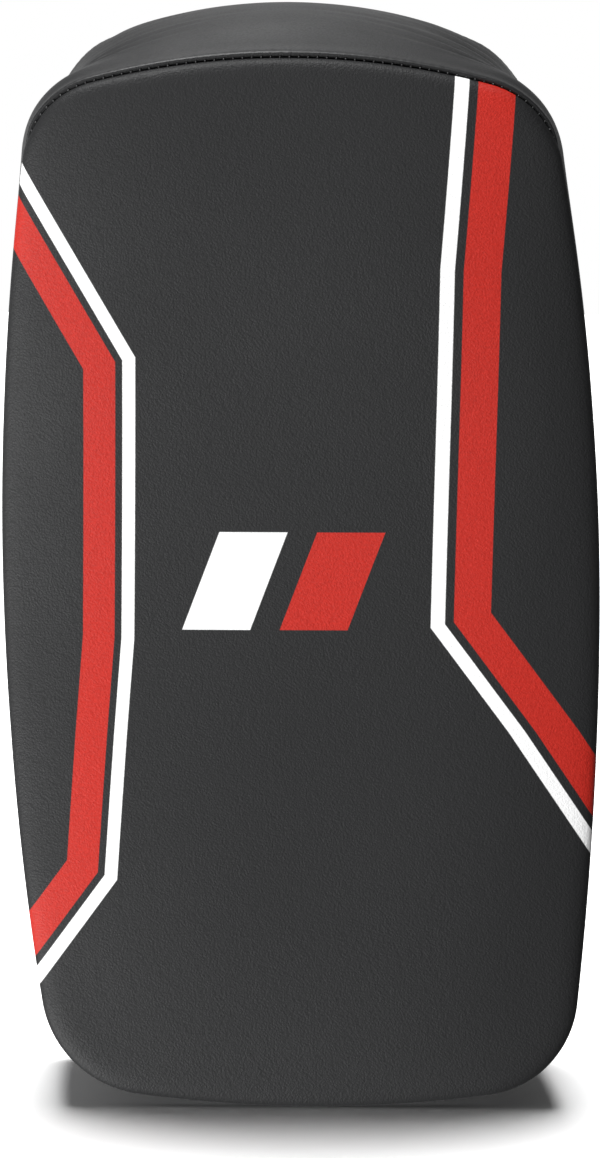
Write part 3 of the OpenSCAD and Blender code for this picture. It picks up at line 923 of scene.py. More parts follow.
def strip(name, s, path, width, thickness, finish, starts_round=0.0, ends_round=0.0, rim=None):
    """A strip along a path on the back at height s. Its path is its middle, seen along its width."""
    path = np.asarray(path, float)
    normals, run = path_normals(path)
    thick = np.broadcast_to(thickness, len(path))
    rows = []
    for i, (p, n) in enumerate(zip(path, normals)):
        lost = end_share(run[-1] - run[i], run[-1], starts_round) if starts_round else 0
        lost += end_share(run[i], run[-1], ends_round) if ends_round else 0
        ring = section(width - 2 * lost, thick[i], rim)
        e = ring[:, 1]
        rows.append(np.stack([p[0] + n[0] * e, p[1] + n[1] * e, ring[:, 0]], -1))
    first, last = rows[0].mean(0), rows[-1].mean(0)
    rows = np.array(rows)
    way0, way1 = path[0] - path[1], path[-1] - path[-2]
    for end, way, middle in [(0, way0, first), (-1, way1, last)]:
        way = way / np.hypot(*way) * thick[end] * 0.18
        cap = rows[end] + [way[0], way[1], 0]
        inward = (middle + [way[0], way[1], 0]) - cap
        n = normals[end]
        off = inward @ [n[0], n[1], 0]
        cap = cap + off[:, None] * np.array([n[0], n[1], 0]) * 0.35
        rows = np.concatenate([[cap], rows] if end == 0 else [rows, [cap]])
    n_rows, n_cols = rows.shape[:2]
    faces = quads(n_rows, n_cols, wrap_cols=True)
    faces += [list(range(n_cols)), list(range((n_rows - 1) * n_cols, n_rows * n_cols))]
    along = np.concatenate([[run[0]], run, [run[-1]]])[:, None]
    return piece(name, on_back(s, rows), faces, finish, lie=lying(along, rows[..., 2]))


def arc_path(centre, r, start, end, step=2.5):
    """Points along an arc on the back, between two angles in degrees."""
    n = max(2, int(abs(end - start) / step) + 1)
    a = np.radians(np.linspace(start, end, n))
    return np.asarray(centre) + r * np.stack([np.cos(a), np.sin(a)], -1)


def line_path(a, b, step=2 * MM):
    n = max(2, int(np.hypot(*(np.subtract(b, a))) / step) + 1)
    return np.linspace(a, b, n)


def joined(*parts):
    """One path through several, without the points that they share."""
    path = [parts[0]] + [p[1:] for p in parts[1:]]
    return np.concatenate(path)


def rounded_path(points, step=1.2 * MM):
    """A smooth path through a few points."""
    p = np.array([2 * np.array(points[0]) - points[1], *points, 2 * np.array(points[-1]) - points[-2]])
    out = []
    for a, b, c, d in zip(p, p[1:], p[2:], p[3:]):
        n = max(2, int(np.hypot(*(c - b)) / step))
        t = np.linspace(0, 1, n, endpoint=False)[:, None]
        out.append(0.5 * (2 * b + (c - a) * t + (2 * a - 5 * b + 4 * c - d) * t ** 2
                          + (3 * b - a - 3 * c + d) * t ** 3))
    out.append(p[-2:-1])
    return np.concatenate(out)


def at_z(line, z):
    """A flat path or its directions, with z added as a third coordinate."""
    return np.concatenate([line, np.full((len(line), 1), z)], 1)


def way_on_back(s, ways):
    """Directions drawn on the flat back at height s, in space."""
    return on_back(s, ways) - on_back(s, np.zeros(3))


def blend_on_back(made, s, start, end):
    """Bakes a piece's placing into its mesh. The two points drawn on the back are worked out, but nothing
    uses them.
    """
    near = on_back(s, np.array([[*start, 0], [*end, 0]]))
    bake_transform(made)


def edge_rows(path, thickness, zs, side=1, trim=3 * MM):
    """Stitch paths on one face of a strip, as points and the way out, still on the flat back."""
    normals, run = path_normals(path)
    keep = (run > trim) & (run < run[-1] - trim)
    line = path + side * normals * (thickness / 2 + 0.03 * MM)
    out = []
    for z in zs:
        out.append((at_z(line, z)[keep], at_z(side * normals, 0.0)[keep], False))
    return out


def sew(name, s, paths, body, length=2.1 * MM, thickness=0.55 * MM, finish=None):
    """Stitches along paths drawn on the flat back at height s."""
    put = [(on_back(s, line), way_on_back(s, np.broadcast_to(ways, np.shape(line))), closed)
           for line, ways, closed in paths]
    made = stitches(name, put, length, thickness, finish or THREAD)
    if body:
        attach(made, body)
    return made


def patch(name, s, x, half_z, height, finish, corner=4 * MM, run=1.6 * MM):
    """A leather patch on the back, from x[0] to x[1], whose top follows a height at each point."""
    middle, half_x = (x[0] + x[1]) / 2, (x[1] - x[0]) / 2
    shape = rounded_rectangle(half_x, half_z, corner, steps=6, run=run)
    insets = [0, 0.12 * MM, 0.4 * MM, 0.9 * MM, 1.6 * MM, 2.4 * MM, 3.2 * MM]
    rise = [0.35, 0.62, 0.86, 0.98, 1, 1, 1]
    shares = list(np.linspace(0.12, 1, 9))
    flat, _ = shape.rings(insets, shares)
    rise = np.array(rise + [1] * len(shares))[:, None]
    top = height(flat[..., 0] + middle, flat[..., 1]) * rise
    low_flat, _ = shape.rings([0.0], [0.5, 1])
    flat, y = np.concatenate([flat[::-1], low_flat]), np.concatenate(
        [top[::-1], np.full(low_flat.shape[:2], 0.05 * MM)])
    local = np.stack([flat[..., 0] + middle, y, flat[..., 1]], -1)
    return piece(name, on_back(s, local), quads(*y.shape, wrap_cols=True), finish,
                 lie=lying(local[..., 0], local[..., 2]))


def patch_seam(x, half_z, height, inset=2.6 * MM, corner=4 * MM):
    """The stitch path round a patch, a little in from its edge."""
    middle, half_x = (x[0] + x[1]) / 2, (x[1] - x[0]) / 2
    shape = rounded_rectangle(half_x - inset, half_z - inset, max(corner - inset, 1.2 * MM), 4)
    points = shape.points + [middle, 0]
    y = height(points[:, 0], points[:, 1]) + 0.05 * MM
    return np.stack([points[:, 0], y, points[:, 1]], -1), OUTWARDS, True


# ---- finishes of the back's pieces ----

STRAP = leather("strap_leather", (0.0125, 0.0125, 0.013), 0.46, grain=0.75 * MM, depth=0.05 * MM,
                worn=0.7, Specular_IOR_Level=0.5).material
LINING = lining("strap_lining", (0.05, 0.052, 0.056))
LOOPS = pile("loop_pile", (0.016, 0.016, 0.017), 0.35 * MM, 0.5 * MM)
HOOKS = pile("hook_ground", (0.013, 0.013, 0.014), 0.5 * MM, 0.25 * MM, hooks=True)
STEEL = steel("nickel_steel")
CORD = cord("rolled_cord")
SOFT = foam("grip_foam", (0.30, 0.31, 0.33), 0.9 * MM)


def hooks_tree():
    """Rows of small bent hooks over a strip of tape, placed on the points of a mesh."""
    tree = tree_of("hook_field", [("Height", "Float", 1 * MM), ("Wire", "Float", 0.2 * MM),
                                  ("Finish", "Material", None)])
    given = tree.nodes.new("NodeGroupInput").outputs
    bend = grow(tree, "GeometryNodeCurvePrimitiveBezierSegment", Resolution=5,
                Start=(0, 0, 0), Start_Handle=(0, 0, 0.9), End_Handle=(0.55, 0, 1.2), End=(0.6, 0, 0.62))
    profile = grow(tree, "GeometryNodeCurvePrimitiveCircle", Resolution=4, Radius=0.16)
    hook = grow(tree, "GeometryNodeCurveToMesh", Curve=bend.outputs[0],
                Profile_Curve=profile.outputs[0], Fill_Caps=True)
    size = grow(tree, "ShaderNodeCombineXYZ", X=given["Height"], Y=given["Height"],
                Z=given["Height"])
    return end_tree(tree, given, given["Geometry"], hook, stand_out(tree), Scale=size.outputs[0])


HOOK_TREE = hooks_tree()
HOOK_PITCH = 1.7 * MM
RING_CORNER = 3.5 * MM
RING_HALF = (9 * MM, 28 * MM)


def ring(name, s, body):
    """A closed ring of round wire, with rounded corners."""
    shape = rounded_rectangle(*RING_HALF, RING_CORNER, steps=8, run=1.5 * MM)
    a = np.linspace(0, 2 * math.pi, 16, endpoint=False)
    centre = np.array([BAR_X, ANCHOR_Y + RING_HALF[0], 0])
    out = shape.normals[:, None, :] * np.cos(a)[None, :, None] * 2 * MM + shape.points[:, None, :]
    x = np.broadcast_to(np.sin(a) * 2 * MM, out.shape[:2])
    local = np.stack([x, out[..., 0], out[..., 1]], -1) + centre
    made = piece(name, on_back(s, local), quads(*x.shape, True, True), STEEL)
    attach(made, body)
    return made


def strap(level, s):
    """One arm strap: band, padding, tapes, patches, ring, and the free end through the ring."""
    ring_body, tail_body = level + "_ring", level + "_tail"
    arch, bar = np.array([0, ARCH_H]), np.array([BAR_X, ARCH_H])

    # The band starts in its sewn foot, turns up off the back, and runs over the arch
    turn_r = 13 * MM
    foot_turn = np.array([-BAND_R - turn_r, turn_r + STRAP_T / 2])
    band_path = joined(line_path([foot_turn[0] - 20 * MM, STRAP_T / 2], [foot_turn[0], STRAP_T / 2]),
                       arc_path(foot_turn, turn_r, -90, 0, 6),
                       line_path([-BAND_R, foot_turn[1]], [-BAND_R, ARCH_H]),
                       arc_path(arch, BAND_R, 180, 2))
    band = strip(level + "_band", s, band_path, STRAP_W, STRAP_T, STRAP, rim=0.8 * MM)
    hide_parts(level + "_strap_band")
    band_rows = edge_rows(band_path, STRAP_T, [-22.9 * MM, 22.9 * MM], 1)
    band_seam = sew(level + "_band_stitches", s, band_rows, None)
    padding_path = arc_path(arch, PADDING_R, 164, 16)
    padding = strip(level + "_padding", s, padding_path, STRAP_W - 1.5 * MM, PADDING_T, LINING,
                    starts_round=5 * MM, ends_round=5 * MM, rim=1.9 * MM)
    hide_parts(level + "_strap_padding")
    loops = strip(level + "_loops", s, arc_path(arch, LOOP_R, 160, 20), STRAP_W - 6 * MM, 1.8 * MM,
                  LOOPS, rim=0.5 * MM)
    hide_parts(level + "_loop_tape")
    tape_rows = edge_rows(arc_path(arch, LOOP_R, 160, 20), 1.8 * MM, [-20.2 * MM, 20.2 * MM], -1, 1.5 * MM)
    tape_seam = sew(level + "_loops_stitches", s, tape_rows, None, thickness=0.5 * MM)
    for made in (band, band_seam, padding, loops, tape_seam):
        blend_on_back(made, s, (48 * MM, ARCH_H), (58.3 * MM, ARCH_H))
    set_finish(band_seam, "strap_leather")

    # The free end turns round the ring's free bar and lies back over the band
    tail_path = joined(line_path([BAR_X - FOLD_R, ARCH_H + 2.0 * MM], [BAR_X - FOLD_R, ARCH_H]),
                       arc_path(bar, FOLD_R, 180, 360, 15), arc_path(arch, TAIL_R, 0, 125))
    tail = strip(level + "_free_end", s, tail_path, STRAP_W, STRAP_T, STRAP, ends_round=14 * MM,
                 rim=0.8 * MM)
    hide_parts(level + "_strap_tail", level + "_strap_fold")
    over = arc_path(arch, TAIL_R, 6, 118)
    tail_rows = edge_rows(over, STRAP_T, [-22.4 * MM, 22.4 * MM], -1)
    cross = arc_path(arch, TAIL_R + STRAP_T / 2, 24, 111)
    for ends in (0, -1):
        p = cross[ends]
        n = (p - arch) / np.hypot(*(p - arch))
        z = np.linspace(-20, 20, 21) * MM
        line = np.stack([0 * z + p[0], 0 * z + p[1], z], -1)
        tail_rows.append((line, (n[0], n[1], 0.0), False))
    tail_seam = sew(level + "_free_end_stitches", s, tail_rows, None)
    for made in (tail, tail_seam):
        blend_on_back(made, s, (BAR_X, ARCH_H + 1 * MM), (BAR_X, ARCH_H + 9 * MM))
    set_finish(tail_seam, "strap_leather")
    hook_path = arc_path(arch, HOOK_R + 0.35 * MM, 110, 25)
    hook_tape = strip(level + "_hook_ground", s, hook_path, STRAP_W - 4 * MM, 1.2 * MM, HOOKS, rim=0.4 * MM)
    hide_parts(level + "_hook_tape")
    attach(hook_tape, tail_body)
    under = arc_path(arch, HOOK_R - 0.25 * MM, 108, 27, math.degrees(HOOK_PITCH / HOOK_R))
    inward = (arch - under) / np.hypot(*(arch - under).T)[:, None]
    z = np.arange(-21.5, 21.6, 1.7) * MM
    field = np.concatenate([np.repeat(under, len(z), 0), np.tile(z, len(under))[:, None]], 1)
    ways = at_z(np.repeat(inward, len(z), 0), 0.0)
    mesh = bpy.data.meshes.new(level + "_hooks")
    mesh.from_pydata(on_back(s, field).tolist(), [], [])
    note(mesh, "out", way_on_back(s, ways))
    hooks = grown(level + "_hooks", mesh, HOOK_TREE, Height=0.85 * MM, Finish=HOOKS)
    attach(hooks, tail_body)
    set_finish(hooks, "hook_tape")

    # The ring, and the tab that holds it
    wire = ring(level + "_steel_ring", s, ring_body)
    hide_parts(level + "_ring")
    anchor = np.array([BAR_X, ANCHOR_Y])
    tab_path = rounded_path(
        [(89 * MM, 3 * MM), (80 * MM, 3 * MM), (73.5 * MM, 3.3 * MM), (69.5 * MM, 6.3 * MM)]
        + list(arc_path(anchor, FOLD_R, -8, 278, 22))
        + [(67.2 * MM, 5.1 * MM), (72.0 * MM, 1.2 * MM), (80 * MM, 1 * MM), (89 * MM, 1 * MM)],
        0.8 * MM)
    tab = strip(level + "_tab", s, tab_path, 44 * MM, 1.9 * MM, STRAP, rim=0.8 * MM)
    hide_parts(level + "_ring_tab")
    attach(tab, "pad")

    # The patches over both sewn feet
    for word, x, foot_half, foot_x, lift in [
            ("strap", (-95 * MM, -73.5 * MM), 25 * MM, (-92 * MM, -60 * MM), 2 * MM),
            ("ring", (73.5 * MM, 93 * MM), 22 * MM, (60 * MM, 90 * MM), 4 * MM)]:
        def height(px, pz):
            over_x = smooth_step(px, foot_x[0] - 1.5 * MM, foot_x[0] + 1 * MM)
            over_x = over_x * (1 - smooth_step(px, foot_x[1] - 1 * MM, foot_x[1] + 1.5 * MM))
            over_z = 1 - smooth_step(np.abs(pz), foot_half - 0.5 * MM, foot_half + 2.2 * MM)
            dent = np.exp(-((np.abs(pz) - 27.2 * MM) / (0.9 * MM)) ** 2)
            return 1.9 * MM + lift * over_x * over_z - 0.25 * MM * dent
        name = level + "_" + word + "_cover"
        made = patch(name, s, x, COVER_HALF_Z, height, BODY)
        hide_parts(level + "_" + word + "_patch")
        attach(made, "pad")
        rows = [patch_seam(x, COVER_HALF_Z, height)]
        for z in (-CROSS_HALF_Z, CROSS_HALF_Z):
            px, pz = np.linspace((x[0] + 6 * MM, z), (x[1] - 6 * MM, -z), 24).T
            rows.append((np.stack([px, height(px, pz) + 0.04 * MM, pz], -1), OUTWARDS, False))
        sewn = sew(name + "_stitches", s, rows, "pad")
        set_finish(sewn, "body_leather")


strap("lower", LOWER_S)
strap("upper", UPPER_S)


# ---- hand grip ----

LEG_X = GRIP_L / 2 + 7.5 * MM      # middle of a leg
PATCH_T = 2 * MM
RIVET_XS = (72 * MM, 83 * MM)
FOOT_T = 3 * MM


def grip_cover():
    """The grip's leather cover: a padded tube with gathered ends, closed by round end pieces."""
    turn = np.linspace(0, 2 * math.pi, 96, endpoint=False)
    half = GRIP_L / 2
    r_edge = 2.2 * MM
    body = np.linspace(-half + r_edge, half - r_edge, 84)
    bend = np.linspace(math.pi / 2, 0, 6, endpoint=False)
    profile = [(half - 0.25 * MM, 0.0), (half - 0.2 * MM, 5 * MM), (half - 0.1 * MM, 9 * MM),
               (half, 11 * MM)]
    profile += [(half - r_edge + r_edge * math.sin(b), GRIP_R - r_edge + r_edge * math.cos(b))
                for b in bend]
    profile += [(x, GRIP_R) for x in body[::-1]]
    left = [(-x, r) for x, r in profile[:10]][::-1]
    profile = np.array(profile + left)
    x, r = profile[:, :1], profile[:, 1:]
    near_end = np.exp(-(half - np.abs(x)) / (7 * MM))
    folds = np.sin(turn * 11 + 1.2 * np.sin(3 * turn)) + 0.6 * np.sin(turn * 17 + 2)
    swell_out = 0.5 * MM * (1 - (x / half) ** 2) + 0.22 * MM * near_end * folds
    seam_dip = 0.5 * MM * np.exp(-((np.angle(np.exp(1j * (turn + math.pi / 2)))) / 0.07) ** 2)
    rim_dip = 0.45 * MM * np.exp(-((half - 6 * MM - np.abs(x)) / (0.8 * MM)) ** 2)
    wide = np.clip(r / GRIP_R, 0, 1)
    r = r + (swell_out - 0.35 * MM - seam_dip - rim_dip) * wide ** 3
    local = np.stack(np.broadcast_arrays(x, GRIP_H + r * np.sin(turn), r * np.cos(turn)), -1)
    made = piece("grip_leather", on_back(GRIP_S, local), quads(*local.shape[:2], wrap_cols=True), STRAP,
                 lie=lying(x + 0 * turn, turn * GRIP_R + 0 * x))
    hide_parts("grip_cover")
    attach(made, "handle")
    a = np.linspace(0, 2 * math.pi, 72, endpoint=False)
    rings = []
    for side in (-1, 1):
        reach = GRIP_R - 0.25 * MM
        px = np.full(72, side * (half - 6 * MM))
        rings.append((np.stack([px, GRIP_H + reach * np.sin(a), reach * np.cos(a)], -1),
                      np.stack([0 * a, np.sin(a), np.cos(a)], -1), True))
    long = np.linspace(-half + 8 * MM, half - 8 * MM, 40)
    for z in (-2.2 * MM, 2.2 * MM):
        y = GRIP_H - math.sqrt((GRIP_R + 0.1 * MM) ** 2 - z ** 2)
        rings.append((np.stack([long, 0 * long + y, 0 * long + z], -1), (0.0, -1.0, 0.0), False))
    sewn = sew("grip_stitches", GRIP_S, rings, "handle")
    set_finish(sewn, "strap_leather")


def tube(name, r_in, r_out, half, soft, finish, body, slices=64):
    """A tube along the grip, with its ends rounded a little."""
    a = np.linspace(0, 2 * math.pi, slices, endpoint=False)
    outer = [(-half, r_in + soft), (-half, r_out - soft), (-half + soft * 0.4, r_out - soft * 0.3),
             (-half + soft, r_out)]
    outer += [(x, r_out) for x in np.linspace(-half + soft, half - soft, 14)[1:-1]]
    outer += [(-x, r) for x, r in outer[3::-1]]
    inner = [(half - soft * 0.4, r_in), (-half + soft * 0.4, r_in)]
    profile = np.array(outer + inner)
    x, r = profile[:, :1], profile[:, 1:]
    local = np.stack(np.broadcast_arrays(x, GRIP_H + r * np.sin(a), r * np.cos(a)), -1)
    made = piece(name, on_back(GRIP_S, local), quads(*local.shape[:2], r_in > 0, True), finish)
    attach(made, body)
    return made


def grip_leg(side, word):
    """One leg of doubled leather: its foot lies on the patch, and its top ends in the grip."""
    turn_up = 6.5 * MM
    foot_y = PATCH_T + FOOT_T / 2 + 0.1 * MM
    path = joined(line_path([89 * MM, foot_y], [LEG_X + turn_up + 0.6 * MM, foot_y]),
                  arc_path([LEG_X + turn_up, foot_y + turn_up], turn_up, 270, 180, 10),
                  line_path([LEG_X, foot_y + turn_up], [LEG_X, 48.5 * MM]),
                  arc_path([LEG_X - 5.5 * MM, 48.5 * MM], 5.5 * MM, 0, 90, 10),
                  line_path([LEG_X - 5.5 * MM, GRIP_H], [GRIP_L / 2 - 1 * MM, GRIP_H], 1 * MM))
    thick = FOOT_T + (5 * MM - FOOT_T) * smooth_step(path[:, 1], 6 * MM, 16 * MM)
    mirrored = path * [side, 1]
    leg = strip("grip_leg_" + word + "_leather", GRIP_S, mirrored, LEG_W, thick, STRAP,
                starts_round=5 * MM, rim=1.1 * MM)
    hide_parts("grip_leg_" + word, "grip_foot_" + word)
    normals, run = path_normals(mirrored)
    rows = []
    for face in (-1, 1):
        for z in (-9.2 * MM, 9.2 * MM):
            line = mirrored + face * normals * (thick[:, None] / 2 + 0.02 * MM)
            inside = (run > 8 * MM) & (run < run[-1] - 6 * MM)
            if face * side > 0:
                inside &= path[:, 1] > 12 * MM
            rows.append((at_z(line, z)[inside], at_z(face * normals, 0.0)[inside], False))
    sewn = sew("grip_leg_" + word + "_stitches", GRIP_S, rows, None)
    for made in (leg, sewn):
        blend_on_back(made, GRIP_S, (0, 6 * MM), (0, 27 * MM))
    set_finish(sewn, "strap_leather")


def rivet_tree():
    """A domed rivet on a thin washer at each point of a mesh, standing along its attribute out."""
    tree = tree_of("rivet_row", [("Head", "Float", 9 * MM), ("Dome", "Float", 3.2 * MM),
                                 ("Finish", "Material", None)])
    given = tree.nodes.new("NodeGroupInput").outputs
    dome = grow(tree, "GeometryNodeMeshUVSphere", Segments=40, Rings=20, Radius=0.5)
    size = grow(tree, "ShaderNodeCombineXYZ", X=given["Head"], Y=given["Head"], Z=given["Dome"])
    shaped = grow(tree, "GeometryNodeTransform", Geometry=dome.outputs[0], Scale=size.outputs[0])
    wide = grow(tree, "ShaderNodeMath", {"operation": "MULTIPLY"}, Value=given["Head"], Value_001=0.56)
    washer = grow(tree, "GeometryNodeMeshCylinder", Vertices=40, Radius=wide.outputs[0], Depth=0.5 * MM)
    both = grow(tree, "GeometryNodeJoinGeometry")
    tree.links.new(shaped.outputs[0], both.inputs[0])
    tree.links.new(washer.outputs[0], both.inputs[0])
    return end_tree(tree, given, given["Geometry"], both, stand_out(tree))


def rivets():
    local = np.array([(side * x, PATCH_T + FOOT_T + 0.3 * MM, 0) for side in (-1, 1) for x in RIVET_XS])
    mesh = bpy.data.meshes.new("rivets")
    mesh.from_pydata(on_back(GRIP_S, local).tolist(), [], [])
    note(mesh, "out", np.tile(way_on_back(GRIP_S, np.array(OUTWARDS)), len(local)))
    made = grown("rivets", mesh, rivet_tree(), Finish=STEEL)
    made.data.shade_smooth()
    made.data.set_sharp_from_angle(angle=math.radians(40))
    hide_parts("grip_rivets")
    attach(made, "pad")


grip_cover()
grip_foam = tube("grip_foam_tube", 9.05 * MM, 12 * MM, 47.6 * MM, 1.2 * MM, SOFT, "handle")
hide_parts("grip_padding")
grip_core = tube("grip_cord_core", 0.0, 8.95 * MM, 47.6 * MM, 1.0 * MM, CORD, "handle")
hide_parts("grip_core")
grip_leg(-1, "left")
grip_leg(1, "right")
PLATE_X, PLATE_CORNER = (-91.5 * MM, 88.3 * MM), 8 * MM     # shorter where the cover draws in


def plate_height(x, z):
    return PLATE_T + 0 * x


plate = patch("grip_plate", GRIP_S, PLATE_X, PLATE_HALF_Z, plate_height, BODY, corner=PLATE_CORNER)
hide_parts("grip_patch")
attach(plate, "pad")
plate_seam = sew("grip_plate_stitches", GRIP_S,
                 [patch_seam(PLATE_X, PLATE_HALF_Z, plate_height, inset=1.7 * MM,
                             corner=PLATE_CORNER)], "pad")
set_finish(plate_seam, "body_leather")
rivets()


# ---- forearm cushion ----

CUSHION = {"width": 90 * MM, "height": 14 * MM, "from": 42 * MM, "to": 256 * MM, "corner": 18 * MM}
CHANNELS = [95 * MM, 149 * MM, 203 * MM]      # heights of its sewn channels
CUSHION_SHARES = [0.1, 0.2, 0.32, 0.45, 0.58, 0.7, 0.8, 0.88, 0.94, 1]


def cushion_shape(grow_by, height):
    """A closed, crowned shape in pad coordinates: x, how far off the back, and s."""
    middle = (CUSHION["from"] + CUSHION["to"]) / 2
    half = (CUSHION["to"] - CUSHION["from"]) / 2
    shape = rounded_rectangle(CUSHION["width"] / 2 + grow_by, half + grow_by, CUSHION["corner"], 10,
                              2.2 * MM)
    insets = list(np.array([0, 0.5, 1.3, 2.6, 4.4, 6.6, 9.2, 12.2]) * MM)
    flat, depth = shape.rings(insets, CUSHION_SHARES)
    up = height * np.clip(1 - (1 - np.clip(depth / (17 * MM), 0, 1)) ** 2.3, 0, 1) ** 0.62
    low_flat, low_depth = shape.rings([0.5 * MM], [0.3, 0.6, 1])
    flat = np.concatenate([flat[::-1], low_flat])
    up = np.concatenate([up[::-1], 0 * low_depth + 0.0])
    return flat[..., 0], up, flat[..., 1] + middle


def flat_to_pad(points):
    """From cushion coordinates (x, s, off the back) to space."""
    return place(points[:, 0], HALF_T + 0.2 * MM + points[:, 2], points[:, 1])


def puff(obj):
    """Fills a cover with air as cloth, and keeps the result."""
    scene = bpy.context.scene
    remesh = obj.modifiers.new("even_mesh", "REMESH")
    remesh.mode, remesh.voxel_size, remesh.use_smooth_shade = "VOXEL", 4.2 * MM, True
    obj.data = settled(obj)
    obj.modifiers.clear()
    before = np.array([v.co for v in obj.data.vertices])
    held = obj.vertex_groups.new(name="held")
    held.add([i for i, p in enumerate(before) if p[2] < 1.2 * MM], 1.0, "REPLACE")
    cloth = obj.modifiers.new("air", "CLOTH")
    rule = cloth.settings
    rule.quality, rule.mass, rule.use_pressure, rule.uniform_pressure_force = 6, 0.2, True, 4.0
    rule.tension_stiffness = rule.compression_stiffness = 18
    rule.shear_stiffness, rule.bending_stiffness = 8, 0.8
    rule.effector_weights.gravity = 0
    rule.vertex_group_mass = "held"
    cloth.collision_settings.use_collision = False
    cloth.point_cache.frame_start, cloth.point_cache.frame_end = 1, 20
    for i in range(1, 21):
        scene.frame_set(i)
    mesh = settled(obj)
    after = np.array([v.co for v in mesh.vertices])
    obj.modifiers.clear()
    scene.frame_set(1)
    obj.data = mesh
    moved = after - before
    far = np.linalg.norm(moved, axis=1, keepdims=True)
    return before + moved * np.minimum(1, 5 * MM / np.maximum(far, 1e-9))


def cushion_cover():
    """The forearm cushion: puffed up as cloth, then sewn down along its channels and its rim."""
    x, up, s = cushion_shape(-3.0 * MM, CUSHION["height"] - 2.8 * MM)
    made = piece("forearm_cushion_cover", np.stack([x, s, up], -1), quads(*x.shape, wrap_cols=True), BODY)
    points = puff(made)
    made.data.vertices.foreach_set("co", points.astype(np.float32).reshape(-1))
    levels = 2
    smooth = made.modifiers.new("smooth", "SUBSURF")
    smooth.levels = smooth.render_levels = levels
    made.data = settled(made)
    made.modifiers.clear()
    p = np.array([v.co for v in made.data.vertices])
    for channel in CHANNELS:
        off = np.abs(p[:, 1] - channel)
        bent = off + 0.8 * MM * np.sin(p[:, 0] / (5 * MM)) * np.exp(-off / (8 * MM))
        groove = 0.42 * np.exp(-(np.abs(bent) / (5.5 * MM)) ** 1.5)
        groove += 0.22 * np.exp(-(bent / (1.3 * MM)) ** 2)
        p[:, 2] *= 1 - groove
    p[:, 2] = np.clip(p[:, 2], 0, CUSHION["height"] + 1 * MM)
    around = np.clip(p[:, 2] / (6 * MM), 0, 1)
    p[:, 2] += 0.16 * MM * around * np.sin(p[:, 0] / (3.1 * MM) + 2 * np.sin(p[:, 1] / (9 * MM)))
    made.data.vertices.foreach_set("co", flat_to_pad(p).astype(np.float32).reshape(-1))
    made.data.update()
    made.data.shade_smooth()
    made.data.materials.clear()
    made.data.materials.append(BODY)
    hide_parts("forearm_cushion")
    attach(made, "pad")
    return p


def cushion_stitches(p):
    """Stitches in the cushion's channels, at the height of its cover there."""
    rows = []
    for channel in CHANNELS:
        xs = np.linspace(-39, 39, 53) * MM
        line = []
        for px in xs:
            near = np.hypot(p[:, 0] - px, p[:, 1] - channel) + np.where(p[:, 2] > 1.5 * MM, 0, 1)
            line.append(p[np.argsort(near)[:4], 2].mean())
        z = np.convolve(np.pad(line, 2, mode="edge"), np.ones(5) / 5, mode="valid") + 0.12 * MM
        points = flat_to_pad(np.stack([xs, 0 * xs + channel, z], -1))
        rows.append((points, place(0, 1.0, channel) - place(0, 0.0, channel), False))
    made = stitches("forearm_cushion_stitches", rows, 2.2 * MM, 0.6 * MM, THREAD)
    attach(made, "pad")
    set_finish(made, "body_leather")


def cushion_filling():
    """The foam inside the forearm cushion."""
    x, up, s = cushion_shape(-7 * MM, CUSHION["height"] - 7.5 * MM)
    for channel in CHANNELS:
        up = up * (1 - 0.85 * np.exp(-(np.abs(s - channel) / (8 * MM)) ** 2))
    local = np.stack([x, s, up], -1).reshape(-1, 3)
    made = piece("forearm_foam_block", flat_to_pad(local + [0, 0, 0.8 * MM]),
                 quads(*x.shape, wrap_cols=True), foam("cushion_foam", (0.60, 0.62, 0.65), 1.2 * MM))
    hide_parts("forearm_foam")
    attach(made, "pad")


cushion_stitches(cushion_cover())
cushion_filling()


# ---- camera, floor and light ----

def add_camera():
    """A camera a little above the pad's middle, square to its front."""
    aim = Vector((-0.5 * MM, 0, 178.3 * MM))
    distance, rise, roll = 1.5, math.radians(3.95), math.radians(0.256)
    forward = Vector((0, math.cos(rise), -math.sin(rise)))
    right, up = Vector((1, 0, 0)), Vector((0, math.sin(rise), math.cos(rise)))
    across = right * math.cos(roll) + up * math.sin(roll)
    above = up * math.cos(roll) - right * math.sin(roll)
    data = bpy.data.cameras.new("camera")
    data.lens, data.sensor_width = 132.7, 36
    camera = bpy.data.objects.new("camera", data)
    bpy.context.scene.collection.objects.link(camera)
    camera.matrix_world = Matrix.Translation(aim - forward * distance) @ Matrix(
        (across, above, -forward)).transposed().to_4x4()
    bpy.context.scene.camera = camera


def add_floor():
    """A plain pale floor. It takes shadows, and doesn't shine back in the leather."""
    f = Finish("floor", (0.92, 0.92, 0.92), 0.8, Specular_IOR_Level=0.0)
    at = f.where()
    f.set("Base Color", f.mix(f.noise(at, 0.4, 2.0), (0.90, 0.90, 0.90), (0.94, 0.94, 0.94)))
    mesh = bpy.data.meshes.new("floor")
    r = 40.0
    mesh.from_pydata([(-r, -r, 0), (r, -r, 0), (r, r, 0), (-r, r, 0)], [], [(0, 1, 2, 3)])
    mesh.materials.append(f.material)
    floor = bpy.data.objects.new("floor", mesh)
    bpy.context.scene.collection.objects.link(floor)
    floor.visible_glossy = False
    floor.visible_diffuse = False
    floor.visible_shadow = False


def light_only(lamp, name, state):
    """Keeps a light off the floor, or keeps it to the floor."""
    chosen = bpy.data.collections.new(name + "_receivers")
    chosen.objects.link(bpy.data.objects["floor"])
    chosen.collection_objects[0].light_linking.link_state = state
    lamp.light_linking.receiver_collection = chosen


